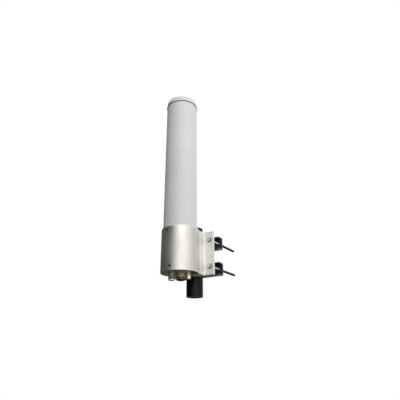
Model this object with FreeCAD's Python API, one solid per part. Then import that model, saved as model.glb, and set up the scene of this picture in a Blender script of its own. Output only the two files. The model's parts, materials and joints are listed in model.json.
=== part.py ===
import FreeCAD, Part

import math
import os

# Omnidirectional antenna on a short mast stub, in millimetres.
#
# Frame: the mast's axis is Z and the origin is the centre of the mast's lower end.  The antenna
# stands beside the mast, towards -Y, and its two jaws grip the mast from behind, towards +Y.

Vector = FreeCAD.Vector

# ---------------------------------------------------------------- driving dimensions

# mast stub
mast_radius = 20.0
mast_wall = 2.5
mast_length = 164.8
mast_below_sleeve = 44.8      # how far the mast sticks out below the antenna
mast_free_end = 40.0          # length that may go into a socket, up to the depth mark
depth_mark_width = 2.0
depth_mark_depth = 0.4
plug_lip = 3.0
plug_depth = 12.0
slip_fit = 0.05               # gap all round a piece pushed into another of the same body

# radome and its cap
radome_radius = 40.0
radome_wall = 3.0
seam_height = 451.0           # from the sleeve's lower end to the seam under the cap
gasket_height = 1.6
gasket_proud = 1.2
cap_height = 15.0
cap_top_radius = 39.4
cap_edge_radius = 2.5
cap_crown = 2.0
cap_wall = 3.0
spigot_depth = 14.0
spigot_wall = 3.4

# extruded sleeve with two wings
sleeve_radius = 43.7
sleeve_bore = 40.25
sleeve_height = 103.0
wing_front = 47.0             # distance of the wings' front face behind the antenna's axis
wing_thickness = 6.5
wing_half_width = 62.0
neck_half_width = 37.4        # flat sides that run back from the round sleeve to the wings
ring_fillet = 10.0            # hollow corner between the round sleeve and a flat side
wing_fillet = 4.0             # hollow corner between a flat side and a wing
seat_apex = 43.9              # deepest line of the mast seat, behind the antenna's axis
seat_slope = 15.0             # degrees, each flank of the shallow V seat
seat_half_width = 20.0
seat_edge = 24.0
rim_bevel_depth = 1.2         # bevel turned on the outer edge at the top of the round front
rim_bevel_height = 2.4
rim_reach = 10.0              # it runs round the front as far back as this

# clamp
grip_gap = 0.25               # between the mast and each flank that bears on it
bolt_radius = 3.0
bolt_length = 130.0
bolt_hole_radius = 3.4
bolt_half_spacing_x = 51.6
lower_bolt_height = 20.0      # above the sleeve's lower end
upper_bolt_height = 83.5
hex_head_across_flats = 10.0
hex_head_height = 4.0
washer_radius = 6.0
washer_thickness = 1.6
spring_washer_radius = 5.6
spring_washer_thickness = 1.6
spring_washer_split = 0.8
nut_height = 5.0
thread_gap = 0.06             # radial running clearance of what slides along a bolt

jaw_height = 31.0
jaw_front = 80.0              # front edge of the jaw's flanges, behind the antenna's axis
jaw_depth = 20.0
jaw_half_width = 59.6
jaw_thickness = 3.0
jaw_bend_radius = 4.0
jaw_half_angle = 60.0         # degrees, half of the V that the mast lies in
tooth_pitch = 2.2
tooth_depth = 0.9

# base plug, seal and set screws
plug_underside = 4.0          # all heights below are above the sleeve's lower end
radome_foot = 5.5
plug_top = 18.0
seal_height = 15.2
seal_section = 1.2
screw_radius = 3.0
screw_inner_end = 33.5
screw_recess = 1.2            # how far the screws' ends lie inside the sleeve's face
screw_socket = 3.0
screw_socket_depth = 3.0
lower_screw_height = 10.0
upper_screw_height = 93.4
lower_screw_angles = (-86.0, 34.0, 154.0)
upper_screw_angles = (-99.0, 21.0, 141.0)
support_ring_inner = 33.0
support_ring_low = 88.0
support_ring_high = 99.0

# radiating parts inside the radome
standoff_radius = 3.2
standoff_circle = 29.0
ground_height = 40.0
ground_thickness = 1.5
ground_radius = 36.4
spine_radius = 6.0
spine_wall = 1.5
spine_top = 434.0
spider_low = 424.0
spider_thickness = 3.0
spider_hub_radius = 10.0
spider_window_radius = 7.0
spider_window_circle = 22.0
board_width = 50.0
board_thickness = 1.6
board_low = 60.0
board_high = 412.0
clip_half_width = 8.0
clip_height = 12.0
clip_heights = (75.0, 175.0, 290.0, 395.0)
foil_thickness = 0.2
low_band_arm = (30.0, 78.0)   # width and height of one low band dipole arm
low_band_centres = (150.0, 325.0)
high_band_arm = (14.0, 26.0)
high_band_centres = (95.0, 160.0, 225.0, 290.0, 355.0)
arm_gap = 4.0
foam_thickness = 14.0
foam_heights = (120.0, 235.0, 355.0)
foam_gap = 0.3

# ports in the base, in a row that is turned against the wings
port_row_turn = 36.0
port_nut_height = 3.0
port_floor = 2.0              # metal left between a port's bore and the plug
relief_width = 1.2            # undercut where a thread ends
contact_top = 26.0
cable_radius = 1.8
cable_hole_radius = 2.8

# ---------------------------------------------------------------- derived places

seat_to_axis = (mast_radius + grip_gap) / math.cos(math.radians(seat_slope))
mast_offset = seat_apex + seat_to_axis
antenna_y = -mast_offset
base_z = mast_below_sleeve
radome_inner = radome_radius - radome_wall
wing_back = wing_front + wing_thickness
jaw_back = jaw_front + jaw_depth
bolt_head_seat = wing_front - washer_thickness
bolt_heights = (lower_bolt_height, upper_bolt_height)

# Each port: its place along the row and in front of it, radius of the threaded barrel, how far the
# mouth hangs below the sleeve, bore of the mouth, contact radius and recess, root flange, shank, nut,
# and where its thread ends in an undercut, if it ends before the flange.
ports = {
    "n_port": {
        "along": -17.5, "front": 5.0, "barrel": 7.95, "mouth": -16.5, "bore": 4.4,
        "contact": 1.5, "recess": 5.2, "flange_flats": None, "flange_radius": 8.4,
        "flange_height": 3.0, "shank": 5.6, "nut_flats": 16.0, "turn": 0.0,
        "relief": -5.9, "relief_depth": 0.5,
    },
    "hex_port": {
        "along": 3.0, "front": 0.0, "barrel": 10.0, "mouth": -15.5, "bore": 6.2,
        "contact": 1.8, "recess": 6.0, "flange_flats": 22.0, "flange_radius": None,
        "flange_height": 4.0, "shank": 6.0, "nut_flats": 17.0, "turn": -22.0,
        "relief": -11.6, "relief_depth": 1.2,
    },
    "small_port": {
        "along": 20.3, "front": -4.0, "barrel": 5.55, "mouth": -11.5, "bore": 4.0,
        "contact": 1.2, "recess": 5.2, "flange_flats": None, "flange_radius": 6.2,
        "flange_height": 3.0, "shank": 3.9, "nut_flats": 12.0, "turn": 0.0,
        "relief": None, "relief_depth": None,
    },
}

# Where each feed cable passes the ground plane, and where it ends on its board, about the antenna's axis.
cable_ends = {
    "n_port": {"through": (-11.2, -14.3), "feed": (-9.0, -9.8), "feed_height": 148.0},
    "hex_port": {"through": (13.0, -16.0), "feed": (9.0, -9.8), "feed_height": 322.0},
    "small_port": {"through": (14.1, 15.2), "feed": (9.0, 9.8), "feed_height": 222.0},
}


# ---------------------------------------------------------------- shapes

def unit(degrees):
    """Unit vector in the XY plane at an angle from +X."""
    return Vector(math.cos(math.radians(degrees)), math.sin(math.radians(degrees)), 0)


def disc(radius, low, high, x=0.0, y=0.0):
    """Upright cylinder between two heights."""
    return Part.makeCylinder(radius, high - low, Vector(x, y, low))


def ring(outer, inner, low, high, x=0.0, y=0.0):
    """Upright tube between two heights."""
    return disc(outer, low, high, x, y).cut(disc(inner, low - 1, high + 1, x, y))


def prism(points, low, high):
    """Closed outline in the XY plane, drawn up between two heights."""
    corners = [Vector(x, y, low) for x, y in points]
    face = Part.Face(Part.makePolygon(corners + corners[:1]))
    return face.extrude(Vector(0, 0, high - low))


def hexagon(flats, low, high, x=0.0, y=0.0, turn=0.0):
    """Upright hexagonal prism; at turn 0 a flat faces -Y."""
    corner = flats / math.sqrt(3)
    angles = [turn + 60 * k for k in range(6)]
    outline = [(x + corner * unit(a).x, y + corner * unit(a).y) for a in angles]
    return prism(outline, low, high)


def lathe(profile):
    """Closed outline of (radius, height) points turned about Z."""
    corners = [Vector(radius, 0, height) for radius, height in profile]
    face = Part.Face(Part.makePolygon(corners + corners[:1]))
    return face.revolve(Vector(0, 0, 0), Vector(0, 0, 1), 360)


def rod_y(radius, start, end, x, z):
    """Cylinder along +Y."""
    return Part.makeCylinder(radius, end - start, Vector(x, start, z), Vector(0, 1, 0))


def hexagon_y(flats, start, end, x, z):
    """Hexagonal prism along +Y with a flat on top."""
    corner = flats / math.sqrt(3)
    corners = [Vector(x + corner * unit(60 * k).x, start, z + corner * unit(60 * k).y) for k in range(6)]
    face = Part.Face(Part.makePolygon(corners + corners[:1]))
    return face.extrude(Vector(0, end - start, 0))


def on_antenna(shape):
    """Move a shape drawn about the antenna's axis, heights from the sleeve's end, into the part's frame."""
    moved = shape.copy()
    moved.translate(Vector(0, antenna_y, base_z))
    return moved


def group(solids):
    """Separate solids that share one node."""
    return Part.makeCompound(solids)


def mirrored_pair(make):
    """The same piece at both bolts of one jaw."""
    return [make(-bolt_half_spacing_x), make(bolt_half_spacing_x)]


# ---------------------------------------------------------------- mast

def mast_stub():
    """Round steel tube with a shallow groove that marks how far it goes into a socket."""
    tube = ring(mast_radius, mast_radius - mast_wall, 0, mast_length)
    mark_high = mast_free_end + depth_mark_width
    return tube.cut(ring(mast_radius + 1, mast_radius - depth_mark_depth, mast_free_end, mark_high))


def mast_top_plug():
    """Plastic cap: a lip on the tube's end and a plug inside it."""
    inside = mast_radius - mast_wall - slip_fit
    lip = disc(mast_radius, mast_length, mast_length + plug_lip)
    return lip.fuse(disc(inside, mast_length - plug_depth, mast_length)).removeSplitter()


def mast_bottom_plug():
    """Plastic plug pushed in flush, so that the outside of the tube stays free."""
    inside = mast_radius - mast_wall - slip_fit
    return disc(inside, 1.0, plug_depth)


# ---------------------------------------------------------------- sleeve

def arc_edge(centre, radius, start, end):
    """Arc about a centre between two angles."""
    place = Vector(centre[0], centre[1], 0)
    first, middle, last = (place + unit(angle) * radius for angle in (start, (start + end) / 2, end))
    return Part.Arc(first, middle, last).toShape()


def sleeve_outline():
    """Outer wire of the extrusion: round front, flat sides that run back from it, flat wings and a shallow V
    seat behind. Every hollow corner is an arc."""
    ring_centre_x = neck_half_width + ring_fillet
    ring_centre_y = math.sqrt((sleeve_radius + ring_fillet) ** 2 - ring_centre_x ** 2)
    lean = math.degrees(math.atan2(ring_centre_y, ring_centre_x))
    wing_centre_x = neck_half_width + wing_fillet
    wing_centre_y = wing_front - wing_fillet
    seat_rise = seat_half_width * math.tan(math.radians(seat_slope))
    back = [
        (wing_centre_x, wing_front), (wing_half_width, wing_front), (wing_half_width, wing_back),
        (seat_edge, wing_back), (seat_half_width, seat_apex + seat_rise), (0, seat_apex),
    ]
    back += [(-x, y) for x, y in reversed(back[:-1])]
    corners = [Vector(x, y, 0) for x, y in back]
    right_side = [Vector(neck_half_width, y, 0) for y in (ring_centre_y, wing_centre_y)]
    left_side = [Vector(-neck_half_width, y, 0) for y in (wing_centre_y, ring_centre_y)]
    edges = [
        arc_edge((ring_centre_x, ring_centre_y), ring_fillet, 180 + lean, 180),
        Part.LineSegment(*right_side).toShape(),
        arc_edge((wing_centre_x, wing_centre_y), wing_fillet, 180, 90),
    ]
    edges += [Part.LineSegment(a, b).toShape() for a, b in zip(corners, corners[1:])]
    edges += [
        arc_edge((-wing_centre_x, wing_centre_y), wing_fillet, 90, 0),
        Part.LineSegment(*left_side).toShape(),
        arc_edge((-ring_centre_x, ring_centre_y), ring_fillet, 0, -lean),
        arc_edge((0, 0), sleeve_radius, -180 - lean, lean),
    ]
    return Part.Wire(edges)


def sleeve_pocket(side):
    """Lightening chamber between the seat, the round wall and a flat side, open at both ends."""
    outline = [
        (13.5, 43.4), (22.5, 45.9), (26.0, 47.0), (32.5, 47.0), (34.0, 45.5), (34.0, 20.0), (13.5, 20.0)]
    chamber = prism([(side * x, y) for x, y in outline], -1, sleeve_height + 1)
    return chamber.cut(disc(sleeve_radius, -2, sleeve_height + 2))


def radial_rod(radius, inner, outer, angle, height):
    """Cylinder that points away from the antenna's axis."""
    direction = unit(angle)
    return Part.makeCylinder(radius, outer - inner, direction * inner + Vector(0, 0, height), direction)


def screw_places():
    """Angle and height of every set screw."""
    rings = ((lower_screw_height, lower_screw_angles), (upper_screw_height, upper_screw_angles))
    return [(angle, height) for height, angles in rings for angle in angles]


def rim_cutter():
    """What is turned away round the front for the bevel at the top."""
    over = 1.0
    steep = rim_bevel_height / rim_bevel_depth
    edge = lathe([
        (sleeve_radius - rim_bevel_depth, sleeve_height),
        (sleeve_radius + over, sleeve_height - rim_bevel_height - over * steep),
        (sleeve_radius + over, sleeve_height + over),
        (sleeve_radius - rim_bevel_depth, sleeve_height + over),
    ])
    front = Part.makeBox(120, 60 + rim_reach, 2 * sleeve_height, Vector(-60, -60, 0))
    return edge.common(front)


def bolt_hole(x, height):
    """Hole through a wing."""
    return rod_y(bolt_hole_radius, wing_front - 1, wing_back + 1, x, height)


def clamp_sleeve():
    body = Part.Face(sleeve_outline()).extrude(Vector(0, 0, sleeve_height))
    body = body.cut(disc(sleeve_bore, -1, sleeve_height + 1))
    for side in (1, -1):
        body = body.cut(sleeve_pocket(side))
    body = body.cut(rim_cutter())
    for height in bolt_heights:
        for hole in mirrored_pair(lambda x: bolt_hole(x, height)):
            body = body.cut(hole)
    for angle, height in screw_places():
        body = body.cut(radial_rod(screw_radius, sleeve_bore - 2, sleeve_radius + 5, angle, height))
    return on_antenna(body)


def set_screws():
    """Socket set screws, three low and three high, that pin the radome in the sleeve."""
    screws = []
    for angle, height in screw_places():
        outer = sleeve_radius - screw_recess
        screw = radial_rod(screw_radius - slip_fit, screw_inner_end, outer, angle, height)
        socket = radial_rod(screw_socket / 2, outer - screw_socket_depth, outer + 1, angle, height)
        screws.append(on_antenna(screw.cut(socket)))
    return group(screws)


# ---------------------------------------------------------------- radome

def radome_tube():
    tube = ring(radome_radius, radome_inner, radome_foot, seam_height - gasket_height)
    for angle, height in screw_places():
        tube = tube.cut(radial_rod(screw_radius, radome_inner - 2, radome_radius + 2, angle, height))
    return on_antenna(tube)


def cap_gasket():
    return on_antenna(ring(
        radome_radius + gasket_proud, radome_inner, seam_height - gasket_height, seam_height))


def radome_cap():
    """Shallow moulded cap with a rounded top edge and a spigot that drops into the tube."""
    top = seam_height + cap_height
    edge = seam_height + cap_height - cap_edge_radius
    spigot_outer = radome_inner - slip_fit
    spigot_inner = spigot_outer - spigot_wall
    slope = (radome_radius - cap_top_radius) / (cap_height - cap_edge_radius)
    outline = [(radome_radius, seam_height), (cap_top_radius, edge)]
    steps = 6
    for k in range(1, steps + 1):
        angle = math.radians(90.0 * k / steps)
        lean = slope * cap_edge_radius * math.sin(angle) * 0.5
        radius = cap_top_radius - cap_edge_radius * (1 - math.cos(angle)) - lean
        outline.append((radius, edge + cap_edge_radius * math.sin(angle)))
    outline.append((cap_top_radius * 0.5, top + cap_crown * 0.75))
    outline.append((0, top + cap_crown))
    outline.append((0, top + cap_crown - cap_wall))
    outline.append((spigot_inner, top - cap_wall))
    outline.append((spigot_inner, seam_height - spigot_depth))
    outline.append((spigot_outer, seam_height - spigot_depth))
    outline.append((spigot_outer, seam_height))
    return on_antenna(lathe(outline))


# ---------------------------------------------------------------- base

def port_place(port):
    """Centre of a port about the antenna's axis."""
    along = unit(port_row_turn)
    front = unit(port_row_turn - 90)
    return along * port["along"] + front * port["front"]


def base_plug():
    """Turned plug in the radome's foot; its lip covers the tube's end and the ports pass through it."""
    body = disc(sleeve_bore - slip_fit, plug_underside, radome_foot)
    body = body.fuse(disc(radome_inner - slip_fit, radome_foot, plug_top)).removeSplitter()
    groove_low = seal_height - seal_section - 0.3
    groove_high = seal_height + seal_section + 0.3
    groove_floor = radome_inner - 2 * seal_section - 0.1
    body = body.cut(ring(radome_inner + 1, groove_floor, groove_low, groove_high))
    for port in ports.values():
        place = port_place(port)
        body = body.cut(disc(port["shank"] + slip_fit, 0, plug_top + 1, place.x, place.y))
    for angle in lower_screw_angles:
        body = body.cut(radial_rod(screw_radius, screw_inner_end, radome_radius, angle, lower_screw_height))
    return on_antenna(body)


def base_seal():
    """O-ring between the plug and the tube."""
    centre = radome_inner - seal_section - slip_fit
    return on_antenna(Part.makeTorus(centre, seal_section, Vector(0, 0, seal_height)))


def support_ring():
    """Metal ring inside the tube that the upper set screws bear on."""
    body = ring(radome_inner - slip_fit, support_ring_inner, support_ring_low, support_ring_high)
    for angle in upper_screw_angles:
        body = body.cut(radial_rod(screw_radius, screw_inner_end, radome_radius, angle, upper_screw_height))
    return on_antenna(body)


def port_body(port):
    """Threaded barrel, root flange against the plug and a shank through it."""
    place = port_place(port)
    x, y = place.x, place.y
    flange_low = plug_underside - port["flange_height"]
    if port["flange_flats"]:
        turn = port_row_turn + port["turn"]
        flange = hexagon(port["flange_flats"], flange_low, plug_underside, x, y, turn)
    else:
        flange = disc(port["flange_radius"], flange_low, plug_underside, x, y)
    body = disc(port["barrel"], port["mouth"], flange_low, x, y).fuse(flange)
    if port["relief"]:
        relief_top = port["relief"] + relief_width
        floor = port["barrel"] - port["relief_depth"]
        body = body.cut(ring(port["barrel"] + 1, floor, port["relief"], relief_top, x, y))
    body = body.fuse(disc(port["shank"], plug_underside, plug_top + port_nut_height + 1.5, x, y))
    body = body.cut(disc(port["bore"], port["mouth"] - 1, plug_underside - port_floor, x, y))
    body = body.cut(disc(port["contact"] + 1.0, 0, contact_top, x, y))
    return on_antenna(body.removeSplitter())


def port_insulator(port):
    """Stepped bead that centres the contact."""
    place = port_place(port)
    floor = plug_underside - port_floor
    bead_low = port["mouth"] + port["recess"] + 4.0
    hole = port["contact"] + slip_fit
    bead = disc(port["bore"] - slip_fit, bead_low, floor, place.x, place.y)
    bead = bead.fuse(disc(port["contact"] + 1.0 - slip_fit, floor, contact_top - 4, place.x, place.y))
    bead = bead.cut(disc(hole, bead_low - 1, contact_top, place.x, place.y))
    return on_antenna(bead.removeSplitter())


def port_contact(port):
    """Socket contact with a blind hole at its mouth and a solder end at the top."""
    place = port_place(port)
    low = port["mouth"] + port["recess"]
    pin = disc(port["contact"], low, contact_top, place.x, place.y)
    hole = disc(port["contact"] * 0.55, low - 1, low + 5, place.x, place.y)
    return on_antenna(pin.cut(hole))


def port_nut(port):
    """Hexagon nut on the shank, on the dry side of the plug."""
    place = port_place(port)
    nut = hexagon(port["nut_flats"], plug_top, plug_top + port_nut_height, place.x, place.y, port_row_turn)
    return on_antenna(nut.cut(disc(port["shank"] + slip_fit, 0, contact_top, place.x, place.y)))


# ---------------------------------------------------------------- inside the radome

def ground_standoffs():
    return group([
        on_antenna(disc(
            standoff_radius, plug_top, ground_height,
            standoff_circle * unit(angle).x, standoff_circle * unit(angle).y))
        for angle in (90, 210, 330)
    ])


def ground_plane():
    """Round reflector plate on the standoffs, with a hole for each feed cable."""
    plate = disc(ground_radius, ground_height, ground_height + ground_thickness)
    for ends in cable_ends.values():
        x, y = ends["through"]
        plate = plate.cut(disc(cable_hole_radius, 0, ground_height + 5, x, y))
    return on_antenna(plate)


def spine_tube():
    return on_antenna(ring(
        spine_radius, spine_radius - spine_wall, ground_height + ground_thickness, spine_top))


def top_spider():
    """Centring disc that holds the top of the spine in the tube."""
    high = spider_low + spider_thickness
    body = disc(radome_inner - 4 * slip_fit, spider_low, high).fuse(disc(spider_hub_radius, high, high + 5))
    body = body.cut(disc(spine_radius + slip_fit, 0, spine_top + 9))
    for k in range(6):
        centre = spider_window_circle * unit(60 * k)
        body = body.cut(disc(spider_window_radius, 0, spine_top + 9, centre.x, centre.y))
    return on_antenna(body.removeSplitter())


def board(side):
    """Printed board on one side of the spine: -1 in front, 1 behind."""
    low_y = side * spine_radius if side > 0 else side * spine_radius - board_thickness
    corner = Vector(-board_width / 2, low_y, board_low)
    return on_antenna(Part.makeBox(board_width, board_thickness, board_high - board_low, corner))


def board_clips():
    """Half blocks left and right of the spine that hold both boards on it."""
    clips = []
    for height in clip_heights:
        corner = Vector(-clip_half_width, -spine_radius, height - clip_height / 2)
        block = Part.makeBox(2 * clip_half_width, 2 * spine_radius, clip_height, corner)
        block = block.cut(disc(spine_radius + slip_fit, 0, spine_top))
        clips += block.Solids
    return group([on_antenna(clip) for clip in clips])


def dipole_foils(side, centres, arm):
    """Copper arms, two to a dipole, on the outer face of one board."""
    width, height = arm
    face = spine_radius + board_thickness
    low_y = face if side > 0 else -face - foil_thickness
    foils = []
    for centre in centres:
        for low in (centre + arm_gap / 2, centre - arm_gap / 2 - height):
            corner = Vector(-width / 2, low_y, low)
            foils.append(on_antenna(Part.makeBox(width, foil_thickness, height, corner)))
    return group(foils)


def foam_spacers():
    """Foam discs that keep the boards central."""
    opening_x = board_width / 2 + foam_gap
    opening_y = spine_radius + board_thickness + foil_thickness + foam_gap
    spacers = []
    for height in foam_heights:
        low = height - foam_thickness / 2
        spacer = disc(radome_inner - foam_gap, low, low + foam_thickness)
        slot = Part.makeBox(
            2 * opening_x, 2 * opening_y, foam_thickness + 2, Vector(-opening_x, -opening_y, low - 1))
        spacer = spacer.cut(slot)
        for ends in cable_ends.values():
            for x, y in (ends["through"], ends["feed"]):
                spacer = spacer.cut(disc(cable_hole_radius + 0.4, low - 1, low + foam_thickness + 1, x, y))
        spacers.append(on_antenna(spacer))
    return group(spacers)


def rounded_route(points):
    """Straight runs joined by tangent arcs, each as large as its two runs allow."""
    edges = []
    start = points[0]
    for before, corner, after in zip(points, points[1:], points[2:]):
        towards = (before - corner).normalize()
        onward = (after - corner).normalize()
        turn = math.pi - towards.getAngle(onward)
        setback = 0.45 * min((corner - before).Length, (after - corner).Length)
        radius = setback / math.tan(turn / 2)
        arc_start = corner + towards * setback
        arc_end = corner + onward * setback
        middle_way = (towards + onward).normalize()
        to_centre = radius / math.cos(turn / 2)
        arc_middle = corner + middle_way * (to_centre - radius)
        edges.append(Part.LineSegment(start, arc_start).toShape())
        edges.append(Part.Arc(arc_start, arc_middle, arc_end).toShape())
        start = arc_end
    edges.append(Part.LineSegment(start, points[-1]).toShape())
    return Part.Wire(edges)


def feed_cable(name):
    """Semi-rigid cable from a port's solder end, through the ground plane, to its feed point."""
    place = port_place(ports[name])
    ends = cable_ends[name]
    hole_x, hole_y = ends["through"]
    feed_x, feed_y = ends["feed"]
    crossing = ground_height + 14
    points = [Vector(place.x, place.y, contact_top), Vector(place.x, place.y, contact_top + 3)]
    if (Vector(hole_x, hole_y, 0) - place).Length > 1:
        points.append(Vector(hole_x, hole_y, ground_height - 5))
    else:
        points = [Vector(hole_x, hole_y, contact_top)]
    points += [
        Vector(hole_x, hole_y, crossing),
        Vector(feed_x, feed_y, crossing + 22),
        Vector(feed_x, feed_y, ends["feed_height"]),
    ]
    path = rounded_route(points)
    direction = points[1] - points[0]
    profile = Part.Wire(Part.makeCircle(cable_radius, points[0], direction))
    tube = path.makePipeShell([profile], True, False)
    print(name, "cable length", round(path.Length, 1), "volume", round(tube.Volume, 1),
          "expected", round(math.pi * cable_radius ** 2 * path.Length, 1))
    return on_antenna(tube)


# ---------------------------------------------------------------- clamp

def clamp_bolts():
    """Four long hexagon bolts, pushed back through the wings."""
    bolts = []
    for height in bolt_heights:
        for x in (-bolt_half_spacing_x, bolt_half_spacing_x):
            head_front = bolt_head_seat - hex_head_height
            head = hexagon_y(hex_head_across_flats, head_front, bolt_head_seat, x, height)
            shank = rod_y(bolt_radius, bolt_head_seat, bolt_head_seat + bolt_length, x, height)
            bolts.append(on_antenna(head.fuse(shank).removeSplitter()))
    return group(bolts)


def washer_y(outer, inner, start, thickness, x, height):
    return rod_y(outer, start, start + thickness, x, height).cut(
        rod_y(inner, start - 1, start + thickness + 1, x, height))


def front_washers():
    """Flat washers under the four bolt heads."""
    hole = bolt_radius + thread_gap
    washers = []
    for height in bolt_heights:
        washers += mirrored_pair(
            lambda x: washer_y(washer_radius, hole, bolt_head_seat, washer_thickness, x, height))
    return group([on_antenna(washer) for washer in washers])


def jaw_section(height):
    """Channel section in the YZ plane, open towards the mast, with round bends."""
    half = jaw_height / 2
    inner_radius = jaw_bend_radius - jaw_thickness
    x = -jaw_half_width

    def point(y, z):
        return Vector(x, y, height + z)

    def bend(centre_y, centre_z, radius, sign):
        """Quarter round from the flange's line to the web's line."""
        side = radius * math.sqrt(0.5)
        return [
            point(centre_y, centre_z + sign * radius),
            point(centre_y + side, centre_z + sign * side),
            point(centre_y + radius, centre_z),
        ]

    outer_y = jaw_back - jaw_bend_radius
    top_out = bend(outer_y, half - jaw_bend_radius, jaw_bend_radius, 1)
    low_out = bend(outer_y, -half + jaw_bend_radius, jaw_bend_radius, -1)[::-1]
    low_in = bend(outer_y, -half + jaw_bend_radius, inner_radius, -1)
    top_in = bend(outer_y, half - jaw_bend_radius, inner_radius, 1)[::-1]
    path = [
        point(jaw_front, half), top_out, low_out,
        point(jaw_front, -half), point(jaw_front, -half + jaw_thickness),
        low_in, top_in, point(jaw_front, half - jaw_thickness),
    ]
    edges = []
    here = path[0]
    for step in path[1:] + path[:1]:
        arc = step if isinstance(step, list) else None
        target = arc[0] if arc else step
        edges.append(Part.LineSegment(here, target).toShape())
        here = target
        if arc:
            edges.append(Part.Arc(arc[0], arc[1], arc[2]).toShape())
            here = arc[2]
    return Part.Wire(edges)


def jaw_notch(low, high):
    """V with small teeth that bears on the mast; the tips of the teeth lie on the V's flanks."""
    slope = math.radians(jaw_half_angle)
    apex = mast_offset + (mast_radius + grip_gap) / math.sin(slope)
    flank = (apex - jaw_front) / math.cos(slope)
    count = int(flank / tooth_pitch)
    right = []
    for k in range(count + 1):
        along = flank - k * tooth_pitch
        right.append((along * math.sin(slope), apex - along * math.cos(slope)))
        if k < count:
            middle = along - tooth_pitch / 2
            right.append((
                middle * math.sin(slope) + tooth_depth * math.cos(slope),
                apex - middle * math.cos(slope) + tooth_depth * math.sin(slope),
            ))
    mouth = (right[0][0] + math.tan(slope), jaw_front - 1)
    left = [(-x, y) for x, y in reversed(right)]
    outline = [mouth] + right + [(0, apex)] + left + [(-mouth[0], jaw_front - 1)]
    return prism(outline, low, high)


def jaw(height):
    """Folded steel jaw behind the mast."""
    body = Part.Face(jaw_section(height)).extrude(Vector(2 * jaw_half_width, 0, 0))
    body = body.cut(jaw_notch(height - jaw_height, height + jaw_height))
    hole_radius = bolt_radius + 0.5
    for hole in mirrored_pair(lambda x: rod_y(hole_radius, jaw_front, jaw_back + 1, x, height)):
        body = body.cut(hole)
    return on_antenna(body)


def jaw_fasteners(height, kind):
    """What is stacked on both bolts behind a jaw: flat washer, spring washer, nut."""
    hole = bolt_radius + thread_gap
    flat_end = jaw_back + washer_thickness
    spring_end = flat_end + spring_washer_thickness

    def flat(x):
        return washer_y(washer_radius, hole, jaw_back, washer_thickness, x, height)

    def spring(x):
        washer = washer_y(spring_washer_radius, hole, flat_end, spring_washer_thickness, x, height)
        corner = Vector(x - spring_washer_split / 2, flat_end - 1, height)
        length = spring_washer_thickness + 2
        split = Part.makeBox(spring_washer_split, length, spring_washer_radius + 1, corner)
        return washer.cut(split)

    def nut(x):
        body = hexagon_y(hex_head_across_flats, spring_end, spring_end + nut_height, x, height)
        return body.cut(rod_y(hole, spring_end - 1, spring_end + nut_height + 1, x, height))

    make = {"flat": flat, "spring": spring, "nut": nut}[kind]
    return group([on_antenna(piece) for piece in mirrored_pair(make)])


# ---------------------------------------------------------------- nodes

nodes = {
    "mast_stub": mast_stub(),
    "mast_top_plug": mast_top_plug(),
    "mast_bottom_plug": mast_bottom_plug(),
    "clamp_sleeve": clamp_sleeve(),
    "set_screws": set_screws(),
    "radome_tube": radome_tube(),
    "cap_gasket": cap_gasket(),
    "radome_cap": radome_cap(),
    "base_plug": base_plug(),
    "base_seal": base_seal(),
    "support_ring": support_ring(),
    "ground_standoffs": ground_standoffs(),
    "ground_plane": ground_plane(),
    "spine_tube": spine_tube(),
    "top_spider": top_spider(),
    "low_band_board": board(-1),
    "high_band_board": board(1),
    "board_clips": board_clips(),
    "low_band_dipoles": dipole_foils(-1, low_band_centres, low_band_arm),
    "high_band_dipoles": dipole_foils(1, high_band_centres, high_band_arm),
    "foam_spacers": foam_spacers(),
    "clamp_bolts": clamp_bolts(),
    "front_washers": front_washers(),
}

for port_name, port in ports.items():
    nodes[port_name + "_body"] = port_body(port)
    nodes[port_name + "_insulator"] = port_insulator(port)
    nodes[port_name + "_contact"] = port_contact(port)
    nodes[port_name + "_nut"] = port_nut(port)
    nodes[port_name + "_feed_cable"] = feed_cable(port_name)

for jaw_name, jaw_centre in (("upper", upper_bolt_height), ("lower", lower_bolt_height)):
    nodes[jaw_name + "_jaw"] = jaw(jaw_centre)
    nodes[jaw_name + "_flat_washers"] = jaw_fasteners(jaw_centre, "flat")
    nodes[jaw_name + "_spring_washers"] = jaw_fasteners(jaw_centre, "spring")
    nodes[jaw_name + "_nuts"] = jaw_fasteners(jaw_centre, "nut")

os.makedirs("parts", exist_ok=True)
for node_name, shape in nodes.items():
    solids = shape.Solids
    print(node_name, "solids", len(solids), "valid", shape.isValid(), "volume", round(shape.Volume, 1))
    shape.exportStep("parts/" + node_name + ".step")
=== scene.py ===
# %% [markdown]
# # An omnidirectional antenna on its mast clamp
#
# A pale radome tube stands in a silver sleeve, and two black jaws grip a short mast behind it.  The frame
# that is loaded here already holds every piece at its real size.  This lesson gives the pieces their
# finish: it replaces what shows with finer surfaces, paints everything, lights it and places a camera.
# Only the plug that carries the ports, and what is inside the radome, keep the surfaces of the frame.
#
# The frame comes first, because every later size is read from it.

# %% Load the frame
import json
import math

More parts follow.
